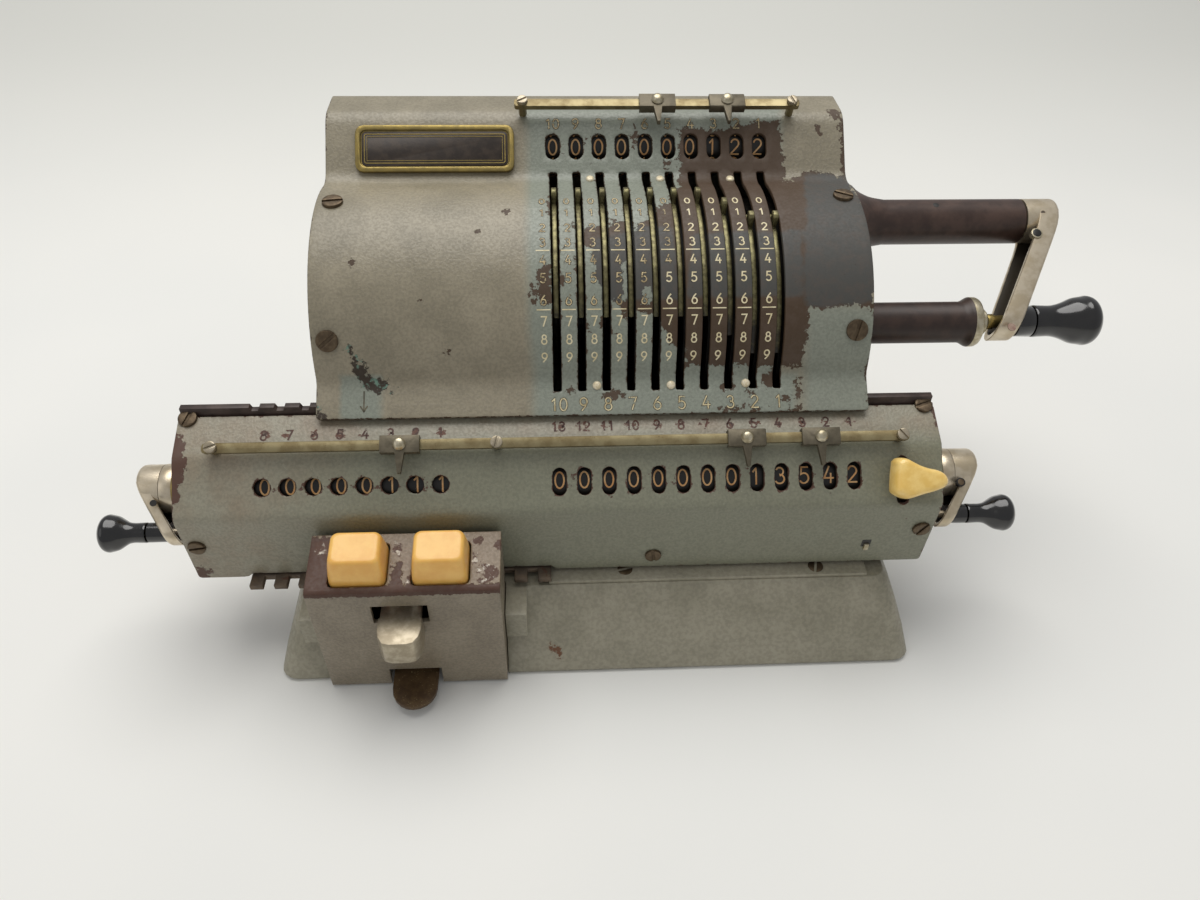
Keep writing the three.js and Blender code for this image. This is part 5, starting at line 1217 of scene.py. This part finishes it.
for side, x in (("left", -71.7), ("right", -47.8)):
    key = f"shift_key_{side}"
    piece(f"key_cap_{side}", [key_cap(x)], "cream_key", key + "_body", [key], smooth=60)

# Transfer lever: a blade through its slot and a smooth pointed knob, whose outline is in pixels
KNOB = [(894, 461), (898, 458), (904, 458), (910, 461), (918, 465), (927, 468), (936, 470), (943, 474),
        (946.5, 481), (943, 487), (934, 491), (920, 495), (907, 499), (899, 497), (893, 493), (892, 488),
        (892.5, 475)]
KNOB_LEVELS = [(0.9, 3.2), (0.3, 3.5), (0.03, 4.3), (0, 6.0), (0.12, 7.6), (0.5, 8.9), (1.2, 9.7),
               (2.2, 10.05), (4.2, 10.2)]


def knob_face(x, up):
    """The flat at half the knob's height, on which its outline is measured."""
    return facet(x, up, 6.5)


outline = np.array([seek(knob_face, px, py, (80, 112), (0, 20)) for px, py in KNOB])
outline = curve_through(np.vstack([outline, outline[:1]]), 5)[:-1]
knob = raised(outline, KNOB_LEVELS, facet(0, 0), *directions(facet))
blade = loop_of(TRANSFER_X, 11.2, 2.6, 3.8, 0.5, steps=3, every=20)
blade = raised(blade, [(0, -3), (0, 5)], facet(0, 0), *directions(facet))
piece("transfer_knob", [knob], "pale_knob", "transfer_lever_body", ["transfer_lever"], smooth=70)
piece("transfer_blade", [blade], "rusty_iron", "transfer_lever_body")

# Main crank: profiles are (x, radius)
CRANK, HANDLE = (26.01381, 106.70224), (-7.985276, 90.412612)
CRANK_DROP = 205.6
CRANK_HALF = 7.25
ARM_ROUNDING = 1.1
TUBE_FLARE = [(84.6, 12.2), (86.5, 10.6), (89, 9.2), (92, 8.1), (96.5, 7.3)]
TUBE = [(82.5, 4.3), (82.5, 11), (83.6, 11), (83.6, 12.2), (83.9, 12.5),
        *curve_through(TUBE_FLARE, 5).tolist(), (142.2, 7.25), (142.6, 6.9), (142.6, 4.3)]
STOP = [(82.5, 0.3), (82.5, 6.5), (115.6, 6.5), (116.6, 6.75), (117.6, 7.35), (118.3, 7.75), (118.6, 7.8),
        (118.6, 0.3)]
COLLAR = [(118.55, 0.3), (118.55, 7.84), (119.2, 7.88), (120.4, 7.84), (121.1, 7.5), (121.4, 7.0),
          (121.4, 0.3)]
STOP_BOSS = [(121.3, 0.3), (121.3, 4.1), (123.6, 4.1), (124.1, 3.6), (124.15, 0.3)]
ARM_BOSS = [(134, 0.5), (134, 4.8), (139.0, 4.95), (139.35, 4.7), (139.35, 0.5)]


def arm_head(place, hub, half, outer, count=48):
    """A round head: circles of radius half - inset from the hub's end up to the web, the last ones turned
    in by a quarter circle, and both ends closed by quads across."""
    angles = (np.arange(count) + 0.5) * 2 * np.pi / count
    levels = ((0, None), (0, 1.5), (0.12, 0.9), (0.45, 0.4), (0.9, 0.12), (1.5, 0))
    rings = []
    for inset, below in levels:
        s, side = (half - inset) * np.cos(angles), (half - inset) * np.sin(angles)
        rings.append(place(s, side, np.full(count, hub) if below is None else outer(s) - below))
    faces = stack_faces(len(levels), count)
    i = np.arange(count // 2 - 1)
    j, top = count - 1 - i, (len(levels) - 1) * count
    faces += np.column_stack([i, j, j - 1, i + 1]).tolist()
    faces += np.column_stack([top + i, top + i + 1, top + j - 1, top + j]).tolist()
    return np.vstack(rings), faces


def channel_arm(node, axis, drop, x_of, hub, half, reach, foot, outer, depth, wall, extra=()):
    """A round head that runs on into a channel open towards the machine, closed by a round end about the
    grip's shaft. s runs along the arm, side across it, out along the shaft; outer(s) is the outside of the
    web. The wall is a section of (inset, depth, share of the wall's own depth, painted shade) carried round
    the outline, and the web fills it between equal s on its two sides. The inside of the channel is
    darkened by painted shade."""
    c, d = math.cos(math.radians(drop)), math.sin(math.radians(drop))

    def place(s, side, out):
        return np.stack([x_of(out), axis[0] + s * c - side * d, axis[1] + s * d + side * c], -1)

    head = arm_head(place, hub, half, outer)

    along = np.linspace(0, reach, 14)
    turn = np.linspace(-np.pi / 2, 0, 11, endpoint=False)[1:]
    near = np.vstack([np.column_stack([along, -half + (half - foot) * along / reach]),
                      np.column_stack([reach + foot * np.cos(turn), foot * np.sin(turn)])])
    outline = np.vstack([near, near[::-1] * [1, -1]])
    run = np.gradient(outline, axis=0)
    run /= np.linalg.norm(run, axis=1)[:, None]
    inward = np.column_stack([-run[:, 1], run[:, 0]])
    deep = depth + 0.75 * (1 + outline[:, 1] / half)
    corner = []
    for a in np.radians([0, 30, 60, 90]):
        corner.append((ARM_ROUNDING * (1 - math.sin(a)), ARM_ROUNDING * (1 - math.cos(a)), 0, 0))
    # The last value of each section row is its painted shade: 0.6 and 1 on the wall's inner side, inside the
    # channel
    section = [(1.3, 0, 0, 0)] + corner + [(0, -0.25, 1, 0), (0.25, 0, 1, 0), (wall - 0.25, 0, 1, 0),
                                           (wall, -0.25, 1, 0.6), (wall, -0.8, 1, 1), (wall, 1.0, 0, 1)]
    inset, down, from_low, soil = np.array(section).T
    rows, count = len(outline), len(section)
    s, side = (outline[:, k:k + 1] + inward[:, k:k + 1] * inset for k in range(2))
    sides = place(s, side, outer(s) - down - from_low * deep[:, None]).reshape(-1, 3)
    sides = sides, stack_faces(rows, count) + end_faces(rows, count)

    length = len(near)
    s, side = (outline + inward * 1.2)[:length].T[:, :, None]
    web_at = place(s + np.zeros(4), side * [1, -1, -1, 1], outer(s) - np.array([0.01, 0.01, wall, wall]))
    plate = web_at.reshape(-1, 3), stack_faces(length, 4) + end_faces(length, 4)

    vertices, faces = joined([head, sides, plate, *extra])
    # Painted shade: none on the head, the section's values round the wall, and full on the web's inner face
    shade_amount = np.concatenate([np.zeros(len(head[0])), np.tile(soil, rows), np.tile([0, 0, 1, 1], length)])
    mesh = mesh_of(node + "_form", vertices, faces)
    give(mesh, soil=np.pad(shade_amount, (0, len(vertices) - len(shade_amount))))
    return link(node + "_form", mesh, "crank_nickel", body_of[node], [node], smooth=42)


def web(top, start, fall, blend):
    """The outside of a web that falls away past a place on the arm:
    top - fall * blend * log(1 + exp((s - start) / blend))."""
    return lambda s: top - fall * blend * np.logaddexp(0, (s - start) / blend)


def grip_profile(length, radius, neck, bore, bore_end):
    """A long neck that swells to a round end; inside it the bore for its stud."""
    swell = radius - neck
    shape = [(0.02, neck * 0.98), (0.14, neck * 0.96), (0.27, neck * 0.95), (0.38, neck * 1.03),
             (0.48, neck + swell * 0.33), (0.6, neck + swell * 0.74), (0.72, radius * 0.97), (0.8, radius),
             (0.88, radius * 0.93), (0.945, radius * 0.74), (0.985, radius * 0.44), (1.0, radius * 0.04)]
    outside = [(a * length, max(r, 0.1)) for a, r in curve_through(shape, 6)]
    return [(bore_end, 0.1), (bore_end, bore), (0, bore), (0, neck * 0.95)] + outside


def turned(name, profile, at, segments, material, body, replaces=(), smooth=40, start=0, sign=1,
           hollow=False):
    """A lathe piece on an axis along X, measured from start in the sense of sign."""
    form = lathe(profile, (start, *at), (sign, 0, 0), segments, hollow)
    return piece(name, [form], material, body, replaces, smooth)


turned("bearing_tube", TUBE, CRANK, 72, "tube_paint", "frame", ["crank_bearing_tube"], hollow=True)
# The stop tube takes the darker copy of the tube's paint, a painted shade
turned("stop_tube", STOP, HANDLE, 64, "tube_paint_shaded", "frame", ["crank_stop_tube"])
turned("stop_tube_collar", COLLAR, HANDLE, 64, "tarnished_nickel", "frame")
turned("stop_tube_boss", STOP_BOSS, HANDLE, 40, "tarnished_nickel", "frame")
channel_arm("crank_arm", CRANK, CRANK_DROP, lambda out: out, 142.9, CRANK_HALF, 37.7, 6.1,
            web(154, 3, 0.528, 2.0), 6.7, 1.9)
turned("crank_arm_boss", ARM_BOSS, HANDLE, 56, "black_grip", "crank_shaft_body")
refined("crank_locating_pin", "tarnished_brass", bevel=0.2)
turned("main_grip", grip_profile(21.8435, 7.9, 5.2, 2.3, 10.3), HANDLE, 72, "black_grip", "crank_grip_body",
       ["crank_grip"], 50, 139.6565)

# Clearing cranks: profiles are (distance from the carriage's end, radius); nearer is how much less they
# stand out than drawn
CLEAR_GRIP = (-51.8408, 47.9053)
CLEAR_DROP = 206.7
CLEAR_HALF = 7.6
STUD = [(2.0, 0.1), (2.0, 1.15), (18.5, 1.15), (19.5, 0.9), (19.5, 0.1)]
CLEAR_BOSS = [(4, 0.5), (4, 3.0), (10.5, 3.05), (10.8, 2.8), (10.8, 0.5)]
SLEEVE = [(2.9, 7.4), (2.9, 7.6), (3.2, 7.75), (6.4, 7.75), (6.7, 7.6), (6.7, 7.4)]
RING = [(0.25, 7.4), (0.25, 7.85), (0.5, 8.05), (2.6, 8.05), (2.9, 7.85), (2.9, 7.4)]
for side, sign, end, nearer, ring_metal in (("left", -1, CARRIAGE_X[0], 1.6, "tarnished_brass"),
                                            ("right", 1, CARRIAGE_X[1], 0.6, "lever_metal")):
    crank, grip = f"clearing_crank_{side}", f"clearing_grip_{side}"
    stud = lathe(STUD, (end, *CLEAR_GRIP), (sign, 0, 0), 20)
    channel_arm(crank, REGISTER, CLEAR_DROP, lambda out, end=end, sign=sign: end + sign * out, 6.85,
                CLEAR_HALF, 13.8, 4.1, web(15.6 - nearer, 1.0, 0.58, 1.6), 3.6, 1.3, [stud])
    turned(f"clearing_boss_{side}", CLEAR_BOSS, CLEAR_GRIP, 40, "black_grip", crank + "_body", start=end,
           sign=sign)
    turned(f"small_grip_{side}", grip_profile(15.606 - nearer, 5.8, 3.2, 1.5, 9.3), CLEAR_GRIP, 56,
           "black_grip", grip + "_body", [grip], 50, end + sign * 11.0936, sign)
    turned(f"boss_sleeve_{side}", SLEEVE, REGISTER, 56, "crank_nickel", "carriage_body", start=end, sign=sign,
           hollow=True)
    turned(f"boss_ring_{side}", RING, REGISTER, 56, ring_metal, "carriage_body", start=end, sign=sign,
           hollow=True)


def cylinder_face(y, z, radius):
    """A cylinder about an axis along X: place(x, angle)."""
    def place(x, angle):
        x, angle = spread(x, angle)
        return np.stack([x, y + radius * np.cos(angle), z + radius * np.sin(angle)], -1)
    return place


def arm_side(axis, drop, half):
    """The flat near side of a crank's arm as place(x, s), and its outward direction."""
    c, d = math.cos(math.radians(drop)), math.sin(math.radians(drop))

    def place(x, s):
        x, s = spread(x, s)
        return np.stack([x, axis[0] + s * c + half * d, axis[1] + s * d - half * c], -1)
    return place, np.array([0, d, -c])


def button(name, pixel, axis, radius, size, heights, material, body, drop=None):
    """A small round piece on a cylinder, or on the flat of an arm, where the photograph shows it; heights
    are those of its foot, its edge and its middle."""
    foot, edge, middle = heights
    x_range = (-150, 165)
    if drop is None:
        face = cylinder_face(*axis, radius)
        x, angle = seek(face, *pixel, x_range, (0.4, 4.4))
        centre, out = face(x, angle), np.array([0, math.cos(angle), math.sin(angle)])
    else:
        face, out = arm_side(axis, drop, radius)
        centre = face(*seek(face, *pixel, x_range, (-2, 44)))
    right = (1, 0, 0)
    levels = [(0, foot), (0, edge), (0.3, middle)]
    piece(name, [raised(circle(size, 32), levels, centre, right, np.cross(out, right), out)], material, body)


HUB_PIN, LEFT_HOLE, RIGHT_SCREW = (1037, 233), (153, 503), (961, 482)
crank, left, right = "crank_shaft_body", "clearing_crank_left_body", "clearing_crank_right_body"
on_tube, on_hub, on_arm = (CRANK, CRANK_HALF), (CRANK, CRANK_HALF), (CRANK, 6.2)
on_clearing = (REGISTER, CLEAR_HALF)
# The black discs in the oil hole and the clearing arm's hole, and the black ring round the set screw, are
# painted shade: dark pieces where there is only the shade inside a hole
for name, pixel, place, size, heights, material, body, drop in (
        ("oil_hole_shade", (936, 205), on_tube, 1.0, (-0.4, 0.03, 0.05), "drum_black", "frame", None),
        ("hub_mark", (1043, 213), on_hub, 0.8, (-0.3, 0.12, 0.15), "rusty_iron", crank, None),
        ("hub_pin_ring", HUB_PIN, on_hub, 1.8, (-1.6, 0.06, 0.12), "tarnished_nickel", crank, CRANK_DROP),
        ("hub_pin", HUB_PIN, on_hub, 1.4, (-0.4, 0.2, 0.28), "drum_black", crank, CRANK_DROP),
        ("arm_scuff", (1012, 327), on_arm, 1.3, (-0.3, 0.03, 0.05), "scuffed_metal", crank, CRANK_DROP),
        ("clearing_hole_shade", LEFT_HOLE, on_clearing, 1.0, (-0.3, 0.02, 0.03), "drum_black", left, CLEAR_DROP),
        ("clearing_set_ring_shade", RIGHT_SCREW, on_clearing, 1.4, (-1.3, 0.02, 0.04), "drum_black", right,
         CLEAR_DROP),
        ("clearing_set_screw", RIGHT_SCREW, on_clearing, 1.0, (-0.3, 0.1, 0.14), "screw_metal", right,
         CLEAR_DROP)):
    button(name, pixel, *place, size, heights, material, body, drop)

# A small catch at the right end of the carriage: a tab in an opening whose dark inside is a black plate,
# painted shade
CATCH_AT = (866, 543)
centre, up, out = carriage.frame_at(*CATCH_AT)
for name, corners, edge, top, material in (
        ("catch_opening_shade", (0, 0, 3.0, 3.4, 0.3), 0.03, 0.05, "drum_black"),
        ("catch_tab", (0.2, -1.5, 1.6, 2.8, 0.3), 0.5, 0.7, "tarnished_nickel")):
    levels = [(0, -0.3), (0, edge), (0.2, top)]
    form = raised(loop_of(*corners, every=20), levels, centre, np.cross(up, out), up, out)
    piece(name, [form], material, "carriage_body")

# Setting levers, darkened towards their slots by painted shade
for i in range(10):
    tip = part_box(f"setting_lever_{i + 1}")[1][2] / MM

    def grime(points, tip=tip):
        return {"soil": np.clip((tip - 6 - points[:, 2]) / 34, 0, 0.62)}

    refined(f"setting_lever_{i + 1}", "lever_metal", bevel=0.22, cells=(None, None, 3.0), paint=grime)
refined("pinwheel_rotor", "drum_black", bevel=0)

# Inner pieces that stay as they are, apart from their material
for material, names in (("frame_paint", ("bottom_plate", "side_frame_left", "side_frame_right")),
                        ("dark_steel", ("crank_shaft", "crank_idler_gear", "transfer_gears")),
                        ("tarnished_brass", ("overflow_bell",))):
    for name in names:
        nodes[name].data.materials.clear()
        nodes[name].data.materials.append(looks[material])


# Floor, lights and camera

FLOOR_REACH = 4000
graph, shader = new_material("pale_floor")
cloudy = graph.noise(graph.millimetres(), 180.0, 2.0)
depth_mm = graph.add("ShaderNodeSeparateXYZ", {0: graph.millimetres()}).outputs[1]
shade = graph.mix(graph.ramp(cloudy, 0.3, 0.7), rgb("EFEEE9"), rgb("EAEAE6"))
# Painted shade: the floor turns darker from 60 to 520 mm behind the machine, where less light falls
shade = graph.mix(graph.ramp(depth_mm, 60.0, 520.0), shade, rgb("D2D2CC"))
graph.send(shade, shader.inputs["Base Color"])
graph.send(0.9, shader.inputs["Roughness"])
corners = [(FLOOR_REACH * x, FLOOR_REACH * y, 0) for x, y in ((-1, -1), (1, -1), (1, 1), (-1, 1))]
floor_mesh = mesh_of("floor", corners, [(0, 1, 2, 3)])
floor_mesh.materials.append(looks["pale_floor"])
floor = bpy.data.objects.new("floor", floor_mesh)
bpy.context.scene.collection.objects.link(floor)


def soft_light(name, place, size, watts, colour, aim=(0.0, 0.0, 0.05)):
    """A round lamp at a place in metres, turned to the machine."""
    light = bpy.data.lights.new(name, "AREA")
    light.shape = "DISK"
    light.size = size
    light.energy = watts
    light.color = colour
    obj = bpy.data.objects.new(name, light)
    obj.location = place
    obj.rotation_euler = (Vector(aim) - Vector(place)).to_track_quat("-Z", "Y").to_euler()
    bpy.context.scene.collection.objects.link(obj)


soft_light("overhead", (-0.05, 0.4, 1.22), 1.2, 12.7, (1.0, 0.985, 0.96))
soft_light("left", (-1.1, -0.5, 0.75), 0.9, 1.0, (1.0, 0.98, 0.95))

world = bpy.data.worlds.new("studio")
world.use_nodes = True
background = world.node_tree.nodes["Background"]
background.inputs["Color"].default_value = (0.97, 0.98, 1.0, 1.0)
background.inputs["Strength"].default_value = 0.405
bpy.context.scene.world = world
bpy.context.scene.view_settings.view_transform = "Standard"

SENSOR_MM = 36.0
camera = bpy.data.cameras.new("camera")
camera.lens = SENSOR_MM * FOCAL / FRAME_WIDTH
camera.sensor_width = SENSOR_MM
camera.clip_start = 0.01
camera_object = bpy.data.objects.new("camera", camera)
view = np.eye(4)
view[:3] = np.column_stack([RIGHT, UP, -FORWARD, CAMERA_AT * MM])
camera_object.matrix_world = Matrix(view.tolist())
bpy.context.scene.collection.objects.link(camera_object)
bpy.context.scene.camera = camera_object
